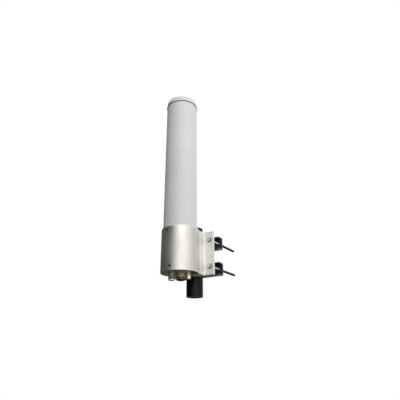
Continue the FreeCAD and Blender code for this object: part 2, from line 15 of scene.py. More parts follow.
import bmesh
import bpy
import numpy as np
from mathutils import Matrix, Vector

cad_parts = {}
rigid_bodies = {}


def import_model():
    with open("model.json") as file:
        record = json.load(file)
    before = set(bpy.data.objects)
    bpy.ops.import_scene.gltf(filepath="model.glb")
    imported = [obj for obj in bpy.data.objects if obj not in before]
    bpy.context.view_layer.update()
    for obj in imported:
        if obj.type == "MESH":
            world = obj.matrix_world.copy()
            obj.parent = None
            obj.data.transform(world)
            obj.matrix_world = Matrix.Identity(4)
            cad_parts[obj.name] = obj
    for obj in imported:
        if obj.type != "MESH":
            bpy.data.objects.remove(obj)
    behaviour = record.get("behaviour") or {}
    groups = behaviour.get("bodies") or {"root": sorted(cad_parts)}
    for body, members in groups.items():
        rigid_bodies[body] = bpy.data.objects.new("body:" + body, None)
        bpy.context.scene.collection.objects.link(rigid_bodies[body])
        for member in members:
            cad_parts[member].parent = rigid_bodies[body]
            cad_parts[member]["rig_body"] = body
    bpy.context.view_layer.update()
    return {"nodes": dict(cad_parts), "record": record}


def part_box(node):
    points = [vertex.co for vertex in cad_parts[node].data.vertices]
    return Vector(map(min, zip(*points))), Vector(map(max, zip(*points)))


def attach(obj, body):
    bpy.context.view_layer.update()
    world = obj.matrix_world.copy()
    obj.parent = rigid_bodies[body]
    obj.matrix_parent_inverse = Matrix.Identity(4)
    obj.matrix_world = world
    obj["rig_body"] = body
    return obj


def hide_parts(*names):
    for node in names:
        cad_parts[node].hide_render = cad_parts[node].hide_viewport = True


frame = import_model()

# %% [markdown]
# ## Sizes that are read from the frame
#
# The shapes below are worked out in millimetres, as on a workshop drawing, and become metres only when
# they turn into a mesh.  Most of them are drawn about the antenna's own axis, with heights above the
# sleeve's lower end.  So two places matter most: where that axis stands, and how high the sleeve begins.

# %% Places in the frame
MM = 0.001


def low_high(node):
    """Lowest and highest corner of a node, in millimetres."""
    low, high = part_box(node)
    return np.array(low) / MM, np.array(high) / MM


radome_low, radome_high = low_high("radome_tube")
sleeve_low, sleeve_high = low_high("clamp_sleeve")
mast_high = low_high("mast_stub")[1]
gasket_high = low_high("cap_gasket")[1]
cap_high = low_high("radome_cap")[1]
bolts_high = low_high("clamp_bolts")[1]
jaw_low, jaw_high = low_high("upper_jaw")

antenna_y = (radome_low[1] + radome_high[1]) / 2
base_z = sleeve_low[2]
radome_radius = radome_high[0]
mast_radius = mast_high[0]
sleeve_radius = antenna_y - sleeve_low[1]
sleeve_height = sleeve_high[2] - base_z
wing_half_width = sleeve_high[0]
wing_back = sleeve_high[1] - antenna_y
mast_offset = -antenna_y


def on_antenna(points):
    """Move points drawn about the antenna's axis, heights from the sleeve's lower end, into the frame."""
    return np.asarray(points, float) + (0.0, antenna_y, base_z)


def placed(part, place=(0, 0, 0)):
    """A (points, faces) part moved into the frame.  It is drawn about the antenna's axis with heights from
    the sleeve's lower end, or about another place that is given that way."""
    points, faces = part
    return points + on_antenna(place), faces


print("antenna axis at y", round(antenna_y, 3), "mm, sleeve from", round(base_z, 2), "mm up")
print("radome radius", round(radome_radius, 2), "sleeve radius", round(sleeve_radius, 2), "mm")

# %% [markdown]
# ## Surfaces from numbers
#
# Nearly every piece here was turned on a lathe, extruded through a die or cut from bar.  Each of those is
# a surface of two parameters, so a grid of points describes it: one direction runs round the piece and
# the other along its outline.  A grid is quick to compute as one array, and it has even faces.
#
# Corners on real metal are never quite sharp.  An outline is written with its few corner points, each
# with a rounding radius, and `rounded` puts a short arc at each of them.

# %% Outlines and grids
def rounded(corners, steps=4):
    """Outline whose corners (a, b, radius) are arcs.  An arc's centre lies on the corner's bisector, and its
    points swing evenly from one side's foot to the other's.  A radius of 0 keeps the corner sharp."""
    corners = np.array(corners, float)
    place, radius = corners[:, :2], corners[:, 2:]
    back = np.roll(place, 1, 0) - place
    onward = np.roll(place, -1, 0) - place
    back /= np.linalg.norm(back, axis=1, keepdims=True)
    onward /= np.linalg.norm(onward, axis=1, keepdims=True)
    half = np.arccos(np.clip((back * onward).sum(1, keepdims=True), -1, 1)) / 2
    bisector = back + onward
    bisector /= np.maximum(np.linalg.norm(bisector, axis=1, keepdims=True), 1e-9)
    centre = place + bisector * radius / np.sin(half)
    first = place + back * radius / np.tan(half) - centre
    last = place + onward * radius / np.tan(half) - centre
    share = np.linspace(0, 1, steps + 1)[None, :, None]
    swing = (math.pi - 2 * half)[:, None, :]
    blend = np.sin((1 - share) * swing) * first[:, None] + np.sin(share * swing) * last[:, None]
    return (centre[:, None] + blend / np.maximum(np.sin(swing), 1e-9)).reshape(-1, 2)


def grid_faces(rows, columns, rows_close=True):
    """Quads between neighbours in a grid whose columns close on themselves, and its rows too if asked."""
    i = np.arange(rows if rows_close else rows - 1)[:, None]
    j = np.arange(columns)[None, :]
    i_next, j_next = (i + 1) % rows, (j + 1) % columns
    corners = [i * columns + j, i * columns + j_next, i_next * columns + j_next, i_next * columns + j]
    return np.stack(corners, -1).reshape(-1, 4).tolist()


corner_test = rounded([(0, 0, 1), (10, 0, 1), (10, 10, 0), (0, 10, 2)])
print("a square with three rounded corners has", len(np.unique(corner_test.round(6), axis=0)), "points")

# %% [markdown]
# ## Turned pieces, threads and hexagons
#
# A lathe piece is an outline of radius and height, turned about an axis.  Two more things happen to
# turned metal: a thread is cut into it, and flats are milled on it.  Both only ever take metal away, so
# both fit in the same formula.  Each row of the grid carries four numbers: its radius, its height, how
# deep a thread cuts there, and how wide a hexagon is left there.

# %% Rows that are turned about an axis
def plain(corners, steps=4):
    """Rows of a plain outline of (radius, height, rounding) corners."""
    outline = rounded(corners, steps)
    return np.hstack([outline, np.zeros_like(outline)])


def sharp(*corners):
    """Rows of sharp (radius, height) corners."""
    return np.array([(radius, height, 0, 0) for radius, height in corners])


def threaded(radius, low, high, depth, pitch, per_pitch=7):
    """Rows of a thread between two heights; it fades in and out over one pitch."""
    height = np.linspace(low, high, max(int(abs(high - low) / pitch * per_pitch), 2))
    fade = np.clip(np.minimum(np.abs(height - low), np.abs(height - high)) / pitch, 0, 1)
    return np.stack([0 * height + radius, height, depth * fade, 0 * height], -1)


def hexagonal(flats, low, high, chamfer_low, chamfer_high, steps=5):
    """Rows of a hexagon whose ends are chamfered by a cone of 30 degrees, as on a nut or a bolt head.  The
    cone leaves a round flat a little narrower than the hexagon; an end with no chamfer gets a tiny step."""
    corner, flat_radius, tiny = flats / math.sqrt(3), 0.475 * flats, 0.02
    drop = (corner - flat_radius) * math.tan(math.radians(30))
    share = np.linspace(0, 1, steps + 1)
    ends = []
    for at, inward, chamfered in ((low, 1, chamfer_low), (high, -1, chamfer_high)):
        reach = drop if chamfered else tiny
        radius = corner - (corner - flat_radius) * (1 - share) * chamfered
        ends.append(np.stack([radius, at + inward * np.sign(high - low) * reach * share], -1))
    outline = np.vstack([ends[0], ends[1][::-1]])
    return np.hstack([outline, np.zeros((len(outline), 1)), np.full((len(outline), 1), flats)])


def turned(rows, segments=96, pitch=1.0, closed=True):
    """Rows turned about Z.  At a share of a turn t the radius is the row's own, less the thread's depth
    times a flattened triangle wave of (height / pitch - t).  It is at most the hexagon's: half its width
    over the cosine of the angle from the middle of the nearest side, with the corners trimmed a little."""
    steepness, corner_trim = 1.4, 0.985
    radius, height, depth, flats = (column[:, None] for column in rows.T)
    t = np.arange(segments)[None, :] / segments
    wave = np.abs((height / pitch - t) % 1 * 2 - 1)
    wave = np.clip(wave * steepness - (steepness - 1) / 2, 0, 1)
    side = (t * 6 % 1 - 0.5) * math.pi / 3
    hexagon = np.minimum(flats / 2 / np.cos(side), flats / math.sqrt(3) * corner_trim)
    reach = np.where(flats > 0, np.minimum(radius, hexagon), radius - depth * wave)
    angle = 2 * math.pi * t
    points = np.stack([reach * np.cos(angle), reach * np.sin(angle), height + 0 * angle], -1)
    return points.reshape(-1, 3), grid_faces(len(rows), segments, closed)


def aimed(points, origin, direction):
    """Turn points so that their Z lies along a direction, without mirroring them, and move them there."""
    z_axis = np.array(direction, float)
    x_axis = np.array([1.0, 0, 0]) if abs(z_axis[0]) < 1e-6 else np.array([-z_axis[1], z_axis[0], 0])
    y_axis = np.cross(z_axis, x_axis)
    return np.asarray(points) @ np.stack([x_axis, y_axis, z_axis]) + origin


def extruded(outline, low, high):
    """A closed outline in XY carried up from one height to another, with both ends filled."""
    count = len(outline)
    points = np.vstack([np.column_stack([outline, np.full(count, z)]) for z in (low, high)])
    return points, grid_faces(2, count, False) + [list(range(count))[::-1], list(range(count, 2 * count))]


print("a bolt head's rows", hexagonal(10, -4, 0, True, False).shape)

# %% [markdown]
# ## From arrays to a mesh
#
# The arrays may hold the same point twice, at a seam or at a pole, so the points are welded before the
# faces are turned outwards.  Holes across a piece are drilled: a cutter of the drill's shape is taken away
# with a Boolean, which leaves the same clean edge as a drill.  A Bevel modifier then breaks the edges,
# and weighted normals keep the flat faces flat next to it.

# %% Meshes, drilling and placing
def welded(parts):
    """One mesh from several (points in millimetres, faces) parts, welded, faces outwards."""
    mesh = bpy.data.meshes.new("work")
    points = np.vstack([part_points for part_points, part_faces in parts])
    faces = []
    first = 0
    for part_points, part_faces in parts:
        faces += [[corner + first for corner in face] for face in part_faces]
        first += len(part_points)
    mesh.from_pydata(points * MM, [], faces)
    work = bmesh.new()
    work.from_mesh(mesh)
    bmesh.ops.remove_doubles(work, verts=work.verts, dist=1e-6)
    bmesh.ops.dissolve_degenerate(work, edges=work.edges, dist=1e-7)
    bmesh.ops.recalc_face_normals(work, faces=work.faces)
    work.to_mesh(mesh)
    work.free()
    return mesh


def drilled(mesh, *cutter_parts):
    """The mesh less each group of cutters, taken away one group at a time."""
    body = bpy.data.objects.new("work_piece", mesh)
    bpy.context.scene.collection.objects.link(body)
    for parts in cutter_parts:
        cutter = bpy.data.objects.new("cutter", welded(parts))
        bpy.context.scene.collection.objects.link(cutter)
        cut = body.modifiers.new("cut", "BOOLEAN")
        cut.operation = "DIFFERENCE"
        cut.solver = "EXACT"
        cut.object = cutter
        after_cut = body.evaluated_get(bpy.context.evaluated_depsgraph_get())
        body.data = bpy.data.meshes.new_from_object(after_cut)
        body.modifiers.clear()
        bpy.data.objects.remove(cutter)
    result = body.data
    bpy.data.objects.remove(body)
    return result


node_slot = {part["node"]: part["material_slot"] for part in frame["record"]["subparts"]}
finishes = {}


def dress(name, node, parts, *cutter_parts, bevel=0.0, sharp_angle=35.0):
    """Make the finished piece that stands for a node, from its parts and what is drilled from them: same
    body, same finish, real rounded edges."""
    mesh = drilled(welded(parts), *cutter_parts)
    piece = bpy.data.objects.new(name, mesh)
    bpy.context.scene.collection.objects.link(piece)
    mesh.name = name
    mesh.materials.clear()
    mesh.materials.append(finishes[node_slot[node]])
    mesh.polygons.foreach_set("use_smooth", np.ones(len(mesh.polygons), bool))
    mesh.set_sharp_from_angle(angle=math.radians(sharp_angle))
    if bevel:
        edge = piece.modifiers.new("Broken edges", "BEVEL")
        edge.width = bevel * MM
        edge.segments = 3
        edge.limit_method = "ANGLE"
        edge.angle_limit = math.radians(sharp_angle)
        edge.use_clamp_overlap = True
        edge.miter_outer = "MITER_ARC"
    even = piece.modifiers.new("Even shading", "WEIGHTED_NORMAL")
    even.keep_sharp = True
    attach(piece, frame["nodes"][node]["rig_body"])
    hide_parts(node)
    print(name, "has", len(mesh.polygons), "faces and stands for", node)
    return piece


print(len(node_slot), "nodes in", len(set(node_slot.values())), "finishes")

# %% [markdown]
# ## Effects that several finishes share
#
# Paint, anodising and moulded plastic differ in colour, but the same few things happen to all of them:
# a fine grain, slow clouds in the tone, dust that lies on what faces up, and edges that get rubbed.
# Each effect is one node group with named inputs, and each finish places it with its own values.  A group
# gives out only masks and heights, and the shader itself stays in the material.

# %% Node helpers
def put(tree, kind, inputs=None, **settings):
    """Add a node.  Inputs are values, or sockets to link from; settings are the node's own properties."""
    made = tree.nodes.new(kind)
    for key, value in settings.items():
        setattr(made, key, value)
    for key, value in (inputs or {}).items():
        if isinstance(value, bpy.types.NodeSocket):
            tree.links.new(value, made.inputs[key])
        else:
            made.inputs[key].default_value = value
    return made


def maths(tree, operation, *values):
    """Output of a Math node."""
    return put(tree, "ShaderNodeMath", dict(enumerate(values)), operation=operation).outputs[0]


def product(tree, *values):
    """All the values multiplied."""
    result = values[0]
    for value in values[1:]:
        result = maths(tree, "MULTIPLY", result, value)
    return result


def weighted(tree, share, first, second):
    """A share of the first value plus the rest of the second."""
    return maths(tree, "ADD", product(tree, first, share), product(tree, second, 1 - share))


def coordinate(tree, vector, axis):
    """One coordinate of a vector."""
    return put(tree, "ShaderNodeSeparateXYZ", {0: vector}).outputs[axis]


def remap(tree, value, low, high, to_low=0.0, to_high=1.0):
    """Output of a smooth Map Range node."""
    inputs = {"Value": value, "From Min": low, "From Max": high, "To Min": to_low, "To Max": to_high}
    return put(tree, "ShaderNodeMapRange", inputs, interpolation_type="SMOOTHSTEP").outputs[0]


def blend(tree, share, first, second):
    """Output of a colour mix; colours are (r, g, b) or sockets."""
    mix = put(tree, "ShaderNodeMix", {0: share}, data_type="RGBA")
    for index, colour in ((6, first), (7, second)):
        if isinstance(colour, bpy.types.NodeSocket):
            tree.links.new(colour, mix.inputs[index])
        else:
            mix.inputs[index].default_value = (*colour, 1.0)
    return mix.outputs[2]


def noise(tree, vector, scale, detail=4.0, roughness=0.55):
    """Value output of a 3-D noise."""
    inputs = {"Vector": vector, "Scale": scale, "Detail": detail, "Roughness": roughness}
    return put(tree, "ShaderNodeTexNoise", inputs).outputs[0]


def group_of(name, inputs, build):
    """A node group: inputs are (name, kind, default); build draws the nodes and returns {output: socket}."""
    tree = bpy.data.node_groups.new(name, "ShaderNodeTree")
    for label, kind, default in inputs:
        socket = tree.interface.new_socket(label, in_out="INPUT", socket_type=kind)
        if default is not None:
            socket.default_value = default
    entry = tree.nodes.new("NodeGroupInput")
    outlet = tree.nodes.new("NodeGroupOutput")
    for label, socket in build(tree, entry.outputs).items():
        tree.interface.new_socket(label, in_out="OUTPUT", socket_type="NodeSocketFloat")
        tree.links.new(socket, outlet.inputs[label])
    return tree


VALUE, VECTOR = "NodeSocketFloat", "NodeSocketVector"
print("node helpers ready")

# %% Shared effects
def grain_nodes(tree, given):
    """Grain: a fine noise mixed with one four times finer.  Clouds: a slow noise, its contrast raised."""
    fine = noise(tree, given["Vector"], given["Grain scale"], 3.0)
    finer = noise(tree, given["Vector"], product(tree, given["Grain scale"], 4.0), 2.0)
    slow = noise(tree, given["Vector"], given["Cloud scale"], 4.0, 0.6)
    return {"Grain": weighted(tree, 0.65, fine, finer), "Clouds": remap(tree, slow, 0.32, 0.68)}


def streak_nodes(tree, given):
    """Streaks: two noises that are squeezed across the streaks' direction by the given stretch."""
    factors = {0: given["Vector"], 1: given["Stretch"]}
    squeezed = put(tree, "ShaderNodeVectorMath", factors, operation="MULTIPLY").outputs[0]
    wide = noise(tree, squeezed, 1.0, 3.0, 0.6)
    thin = noise(tree, squeezed, 3.7, 4.0, 0.7)
    return {"Streaks": weighted(tree, 0.5, wide, thin)}


def dust_nodes(tree, given):
    """Dust: how far the surface faces up, broken by a noise, times the amount."""
    upward = coordinate(tree, put(tree, "ShaderNodeNewGeometry").outputs["Normal"], "Z")
    broken = remap(tree, noise(tree, given["Vector"], 55.0, 6.0, 0.65), 0.35, 0.7)
    film = maths(tree, "ADD", remap(tree, upward, 0.15, 0.95), 0.06)
    return {"Dust": product(tree, film, broken, given["Amount"])}


def wear_nodes(tree, given):
    """Wear: how far the normal of a rounded edge leans from the face's own, broken by a noise."""
    soft = put(tree, "ShaderNodeBevel", {"Radius": given["Radius"]}, samples=4).outputs[0]
    normal = put(tree, "ShaderNodeNewGeometry").outputs["Normal"]
    lean = put(tree, "ShaderNodeVectorMath", {0: soft, 1: normal}, operation="DOT_PRODUCT").outputs["Value"]
    broken = remap(tree, noise(tree, given["Vector"], 240.0, 5.0, 0.7), 0.4, 0.6)
    edge = remap(tree, maths(tree, "SUBTRACT", 1.0, lean), 0.01, 0.16)
    return {"Wear": product(tree, edge, broken, given["Amount"])}


def turning_nodes(tree, given):
    """Turning marks: a wave along the distance from the axis and the height, as a tool's feed leaves it."""
    x, y, z = (coordinate(tree, given["Vector"], axis) for axis in "XYZ")
    across = maths(tree, "SQRT", maths(tree, "ADD", product(tree, x, x), product(tree, y, y)))
    wave = maths(tree, "SINE", maths(tree, "DIVIDE", maths(tree, "ADD", across, z), given["Feed"]))
    uneven = noise(tree, given["Vector"], 120.0, 3.0)
    return {"Marks": product(tree, weighted(tree, 0.5, wave, 1.0), uneven)}


place_input = ("Vector", VECTOR, None)
amount_input = ("Amount", VALUE, 0.3)
effects = {
    "grain": group_of("Grain and clouds", [
        place_input, ("Grain scale", VALUE, 900.0), ("Cloud scale", VALUE, 14.0)], grain_nodes),
    "streaks": group_of("Die streaks", [place_input, ("Stretch", VECTOR, (900, 900, 9))], streak_nodes),
    "dust": group_of("Settled dust", [place_input, amount_input], dust_nodes),
    "wear": group_of("Rubbed edges", [place_input, ("Radius", VALUE, 0.0008), amount_input], wear_nodes),
    "turning": group_of("Turning marks", [place_input, ("Feed", VALUE, 0.00006)], turning_nodes),
}
print("shared effects:", ", ".join(tree.name for tree in effects.values()))

# %% [markdown]
# ## Finishes
#
# A finish is a Principled shader plus what varies over the surface.  What stays the same all over a piece,
# such as its metal or its coat, is set on the shader itself.  Colour, roughness and height are worked out
# from the shared effects, in the piece's own coordinates, so that nothing slides when the piece moves.

# %% A bench for finishes
class Finish:
    """A material under way: its tree, its shader and the coordinates that its patterns use."""

    def __init__(self, name, **constants):
        self.material = bpy.data.materials.new(name)
        self.material.use_nodes = True
        self.tree = self.material.node_tree
        self.shader = self.tree.nodes["Principled BSDF"]
        self.place = put(self.tree, "ShaderNodeTexCoord").outputs["Object"]
        for label, value in constants.items():
            self.shader.inputs[label.replace("_", " ")].default_value = value
        finishes[name] = self.material

    def effect(self, name, output, vector=None, **inputs):
        """Place a shared effect and give back one of its outputs."""
        values = {"Vector": vector or self.place}
        values.update({label.replace("_", " "): value for label, value in inputs.items()})
        return put(self.tree, "ShaderNodeGroup", values, node_tree=effects[name]).outputs[output]

    def moved(self, x, y, z):
        """Coordinates with their origin at a place, in metres."""
        mapping = put(self.tree, "ShaderNodeMapping", {"Vector": self.place, "Location": (-x, -y, -z)})
        return mapping.outputs[0]

    def grain_and_clouds(self, grain_scale, cloud_scale):
        """Both outputs of the shared grain."""
        scales = {"Grain_scale": grain_scale, "Cloud_scale": cloud_scale}
        return [self.effect("grain", output, **scales) for output in ("Grain", "Clouds")]

    def dusted(self, tone, amount):
        """The tone under settled dust."""
        return blend(self.tree, self.effect("dust", "Dust", Amount=amount), tone, DUST)

    def rubbed(self, tone, radius, amount, worn_colour):
        """The tone with its edges rubbed down to another colour."""
        worn = self.effect("wear", "Wear", Radius=radius, Amount=amount)
        return blend(self.tree, worn, tone, worn_colour)

    def past(self, axis, where, half_blend):
        """Mask: 0 before a place along an axis and 1 past it, in millimetres."""
        along = coordinate(self.tree, self.place, axis)
        return remap(self.tree, along, (where - half_blend) * MM, (where + half_blend) * MM)

    def feed(self, label, socket):
        """Link a socket to the shader."""
        self.tree.links.new(socket, self.shader.inputs[label])

    def close(self, tone, roughness, height, distance):
        """Link colour, roughness and a height, which is a share of a distance in metres."""
        bump = put(self.tree, "ShaderNodeBump", {"Height": height, "Distance": distance, "Strength": 1.0})
        self.feed("Base Color", tone)
        self.feed("Roughness", roughness)
        self.feed("Normal", bump.outputs[0])


def shaded(colour, factor):
    """A colour made paler or darker by a factor."""
    return tuple(min(1.0, part * factor) for part in colour)


DUST = (0.42, 0.39, 0.34)
WORN_STEEL, WORN_ALUMINIUM = (0.22, 0.215, 0.21), (0.93, 0.92, 0.90)
print("finish bench ready, dust is", DUST)

# %% [markdown]
# ### Radome and cap
#
# The radome is a tube of glass fibre and resin with a pale grey outer coat, pulled through a die.  It is
# smooth but not glossy: faint lines run along it, and the coat has the slight waviness of orange peel.
# The cap is moulded, so it has a fine spark-eroded grain and no lines.

# %% Radome grey, cap grey
def coated(name, colour, roughness, stretch):
    """Pale coat over fibre: clouds in the tone, orange peel, faint lines along the tube."""
    finish = Finish(name, Specular_IOR_Level=0.42)
    tree = finish.tree
    grain, clouds = finish.grain_and_clouds(420.0, 9.0)
    lines = finish.effect("streaks", "Streaks", Stretch=stretch)
    tone = blend(tree, clouds, shaded(colour, 0.975), shaded(colour, 1.035))
    uneven = weighted(tree, 0.6, lines, clouds)
    rough = remap(tree, uneven, 0.2, 0.8, roughness - 0.06, roughness + 0.08)
    finish.close(finish.dusted(tone, 0.35), rough, weighted(tree, 0.7, grain, lines), 0.00006)


coated("radome_grey", (0.68, 0.68, 0.68), 0.42, (700.0, 700.0, 5.0))
coated("cap_grey", (0.675, 0.675, 0.67), 0.38, (240.0, 240.0, 240.0))
print("coats made")

# %% [markdown]
# ### Aluminium
#
# The sleeve is an aluminium extrusion.  The die leaves streaks along it, and clear anodising turns the
# mirror into a soft satin sheen.  The flat sides and wings behind the round front are painted paler, which
# is painted light, and are rougher.  The plug under the radome is turned and chromated, which makes it
# brownish and iridescent.
# The pieces inside the radome are plain mill metal.

# %% Sleeve, plug and inner aluminium
painted_light_start = antenna_y + 26.0               # behind the sleeve's round front
painted_light_blend, rear_roughness_gain = 3.0, 0.24      # half width of the change, and what the roughness gains


def aluminium(name, colour, shade, roughness, stretch, depth, wear=0.0, painted_light_colour=None):
    """Metal with streaks in roughness and height, clouds in the tone and rubbed edges.  With a painted light
    colour the faces behind the round front take that paler colour, which is painted light, and are rougher."""
    finish = Finish(name, Metallic=1.0)
    tree = finish.tree
    streaks = finish.effect("streaks", "Streaks", Stretch=stretch)
    grain, clouds = finish.grain_and_clouds(1500.0, 16.0)
    uneven = weighted(tree, 0.6, streaks, clouds)
    rough = remap(tree, uneven, 0.25, 0.75, roughness - 0.05, roughness + 0.07)
    tone = blend(tree, product(tree, clouds, streaks), colour, shade)
    if wear:
        tone = finish.rubbed(tone, 0.0007, wear, WORN_ALUMINIUM)
    # Painted light: the faces behind the round front are painted paler, for the brighter light they catch.
    if painted_light_colour:
        behind = finish.past("Y", painted_light_start, painted_light_blend)
        tone = blend(tree, behind, tone, painted_light_colour)
        rough = maths(tree, "ADD", rough, product(tree, behind, rear_roughness_gain))
    finish.close(finish.dusted(tone, 0.25), rough, weighted(tree, 0.6, streaks, grain), depth)


# The paler colour on the sleeve's flat sides and wings is painted light.
aluminium("sleeve_aluminium", (0.70, 0.685, 0.64), (0.64, 0.625, 0.585), 0.42, (900.0, 900.0, 7.0),
          0.00004, wear=0.5, painted_light_colour=(0.87, 0.85, 0.81))
aluminium("plug_aluminium", (0.68, 0.56, 0.39), (0.52, 0.42, 0.29), 0.46, (260.0, 260.0, 260.0),
          0.00004, wear=0.3)
aluminium("inner_aluminium", (0.80, 0.80, 0.79), (0.72, 0.72, 0.72), 0.34, (60.0, 900.0, 900.0), 0.00003)
# The faces behind this y are painted paler, as painted light.
print("aluminium made, bare behind y", round(painted_light_start, 1), "mm")

# %% [markdown]
# ### Plated and plain metal
#
# The ports are turned parts: nickel on the N port, bright silver on the small one, dull olive brass on the
# hexagonal one, and gold on the contacts.  A tool's feed leaves fine rings on all of them, which the
# turning marks give.  A mask on one coordinate paints light and shade along a piece.  The N port's lip
# is painted bright, a painted highlight; two bands of painted shade run round the olive port; and the
# bolts' long threads are painted dark, as painted shade, behind a bright shank.  The washers are dark all
# over.

# %% Plain metals
def turned_metal(name, colour, shade, roughness, centre, depth=0.00002, wear=0.0, metallic=1.0):
    """Metal with turning marks about an upright axis at centre, clouds in the tone, rubbed edges.  Dull
    plating is less than fully metallic."""
    finish = Finish(name, Metallic=metallic)
    tree = finish.tree
    marks = finish.effect("turning", "Marks", finish.moved(*centre), Feed=0.00007)
    grain, clouds = finish.grain_and_clouds(2500.0, 60.0)
    tone = blend(tree, clouds, colour, shade)
    if wear:
        tone = finish.rubbed(tone, 0.0005, wear, shaded(colour, 1.35))
    uneven = weighted(tree, 0.6, clouds, grain)
    rough = remap(tree, uneven, 0.2, 0.8, roughness - 0.07, roughness + 0.09)
    finish.close(tone, rough, weighted(tree, 0.6, marks, grain), depth)
    return finish, tone


axis_place, mast_place = (0.0, antenna_y * MM, 0.0), (0.0, 0.0, 0.0)
turned_metal("silver", (0.97, 0.95, 0.90), (0.90, 0.88, 0.82), 0.27, axis_place, wear=0.3)
turned_metal("gold", (0.90, 0.66, 0.28), (0.80, 0.56, 0.22), 0.22, axis_place)
turned_metal("copper", (0.80, 0.45, 0.28), (0.68, 0.35, 0.21), 0.33, axis_place)
turned_metal("cable_copper", (0.76, 0.43, 0.28), (0.60, 0.32, 0.20), 0.30, axis_place)
turned_metal("washer_steel", (0.10, 0.097, 0.09), (0.05, 0.048, 0.045), 0.45, mast_place, wear=0.3)
print("plain metals made")

# %% Metals with painted light and shade along the piece
# Painted shade: two dark bands round the olive port, where a groove and the thread's lower end lie in shade.
painted_shade_bands = [(-9.9, 1.2), (-14.7, 1.3)]    # middle above the sleeve's foot, and half width
painted_shade_colour, painted_highlight_colour, painted_thread_shade = (0.02, 0.018, 0.012), (0.97, 0.96, 0.93), (0.035, 0.035, 0.034)
mask_blend, thread_shade_blend = 0.1, 1.0         # half width of a change of colour

brass, brass_tone = turned_metal("brass", (0.46, 0.41, 0.23), (0.36, 0.32, 0.18), 0.55, axis_place,
                                 wear=0.3, metallic=0.6)
height = coordinate(brass.tree, brass.place, "Z")
# Each band is painted shade on the olive port's barrel.
for middle, half_width in painted_shade_bands:
    away = maths(brass.tree, "ABSOLUTE", maths(brass.tree, "SUBTRACT", height, (base_z + middle) * MM))
    off_band = remap(brass.tree, away, (half_width - mask_blend) * MM, (half_width + mask_blend) * MM)
    brass_tone = blend(brass.tree, off_band, painted_shade_colour, brass_tone)
brass.feed("Base Color", brass_tone)

lip_top = base_z - 14.2                     # the N port's plain lip is painted bright below this height, a painted highlight
nickel, nickel_tone = turned_metal("nickel", (0.34, 0.315, 0.28), (0.26, 0.235, 0.21), 0.42, axis_place,
                                   wear=0.4, metallic=0.6)
on_barrel = nickel.past("Z", lip_top, mask_blend)
# Painted highlight: the N port's lip below lip_top is painted near white.
nickel.feed("Base Color", blend(nickel.tree, on_barrel, painted_highlight_colour, nickel_tone))

thread_start = 92.0                         # behind the antenna's axis
steel, steel_tone = turned_metal("bolt_steel", (0.72, 0.71, 0.68), (0.60, 0.59, 0.57), 0.26, mast_place,
                                 wear=0.3)
# Painted shade: the bolts' threads behind the jaws are painted nearly black.
on_thread = steel.past("Y", antenna_y + thread_start + thread_shade_blend, thread_shade_blend)
steel.feed("Base Color", blend(steel.tree, on_thread, steel_tone, painted_thread_shade))
print("bolts darken from y", round(antenna_y + thread_start, 1), "mm")

# %% [markdown]
# ### Black coats, rubber and plastics
#
# The mast and the jaws are powder coated black.  Powder coat flows into a soft orange peel, and it wears
# through to steel at corners.  Rubber is dull and slightly bloomed, and moulded plastics have a fine
# grain.  The boards inside have a green mask with a woven glass texture under it.

# %% Powder coat, oxide, rubber, plastics and boards
def dark_coat(name, colour, roughness, peel, coat, wear, specular=0.5):
    """Black coat: orange peel of a given depth, pale dust, edges rubbed down to grey metal."""
    finish = Finish(name, Coat_Weight=coat, Coat_Roughness=0.16, Specular_IOR_Level=specular)
    tree = finish.tree
    grain, clouds = finish.grain_and_clouds(520.0, 22.0)
    tone = finish.dusted(blend(tree, clouds, colour, shaded(colour, 1.5)), 0.22)
    rough = remap(tree, clouds, 0.0, 1.0, roughness - 0.04, roughness + 0.07)
    finish.close(finish.rubbed(tone, 0.0007, wear, WORN_STEEL), rough, grain, peel)


def moulded(name, colour, roughness, grain_scale=900.0, specular=0.4):
    """Moulded or foamed plastic: fine grain in height, clouds in tone and roughness."""
    finish = Finish(name, Specular_IOR_Level=specular)
    tree = finish.tree
    grain, clouds = finish.grain_and_clouds(grain_scale, 30.0)
    tone = blend(tree, clouds, shaded(colour, 0.93), shaded(colour, 1.06))
    rough = remap(tree, grain, 0.3, 0.7, roughness - 0.06, roughness + 0.06)
    finish.close(finish.dusted(tone, 0.2), rough, grain, 0.00005)


def board_finish():
    """Green mask over woven glass: the weave is two sine waves of fine threads, multiplied."""
    finish = Finish("board", Specular_IOR_Level=0.5, Coat_Weight=0.3, Coat_Roughness=0.2)
    tree, thread_rate = finish.tree, 5200.0
    green, deep_green, pale_green = (0.03, 0.18, 0.08), (0.02, 0.13, 0.055), (0.035, 0.20, 0.10)
    across, along = (product(tree, coordinate(tree, finish.place, axis), thread_rate) for axis in "XZ")
    weave = product(tree, maths(tree, "SINE", across), maths(tree, "SINE", along))
    clouds = finish.effect("grain", "Clouds", Cloud_scale=30.0)
    tone = blend(tree, remap(tree, weave, -1.0, 1.0), blend(tree, clouds, deep_green, green), pale_green)
    finish.close(tone, remap(tree, clouds, 0.0, 1.0, 0.3, 0.42), weave, 0.00003)


dark_coat("mast_black", (0.004, 0.004, 0.004), 0.22, 0.00003, 0.0, 0.2, 0.14)
dark_coat("jaw_black", (0.014, 0.014, 0.015), 0.40, 0.00006, 0.35, 0.5)
dark_coat("screw_black", (0.012, 0.012, 0.012), 0.42, 0.00003, 0.0, 0.3)
moulded("black_plastic", (0.022, 0.022, 0.023), 0.50)
moulded("seal_rubber", (0.018, 0.018, 0.018), 0.68, 600.0, 0.25)
moulded("inner_plastic", (0.78, 0.77, 0.71), 0.45)
moulded("ptfe", (0.88, 0.88, 0.86), 0.35)
moulded("foam", (0.84, 0.84, 0.83), 0.85, 350.0, 0.2)
board_finish()

for node_name, slot_name in node_slot.items():
    frame["nodes"][node_name].material_slots[0].material = finishes[slot_name]
print("every node painted from", len(finishes), "finishes")

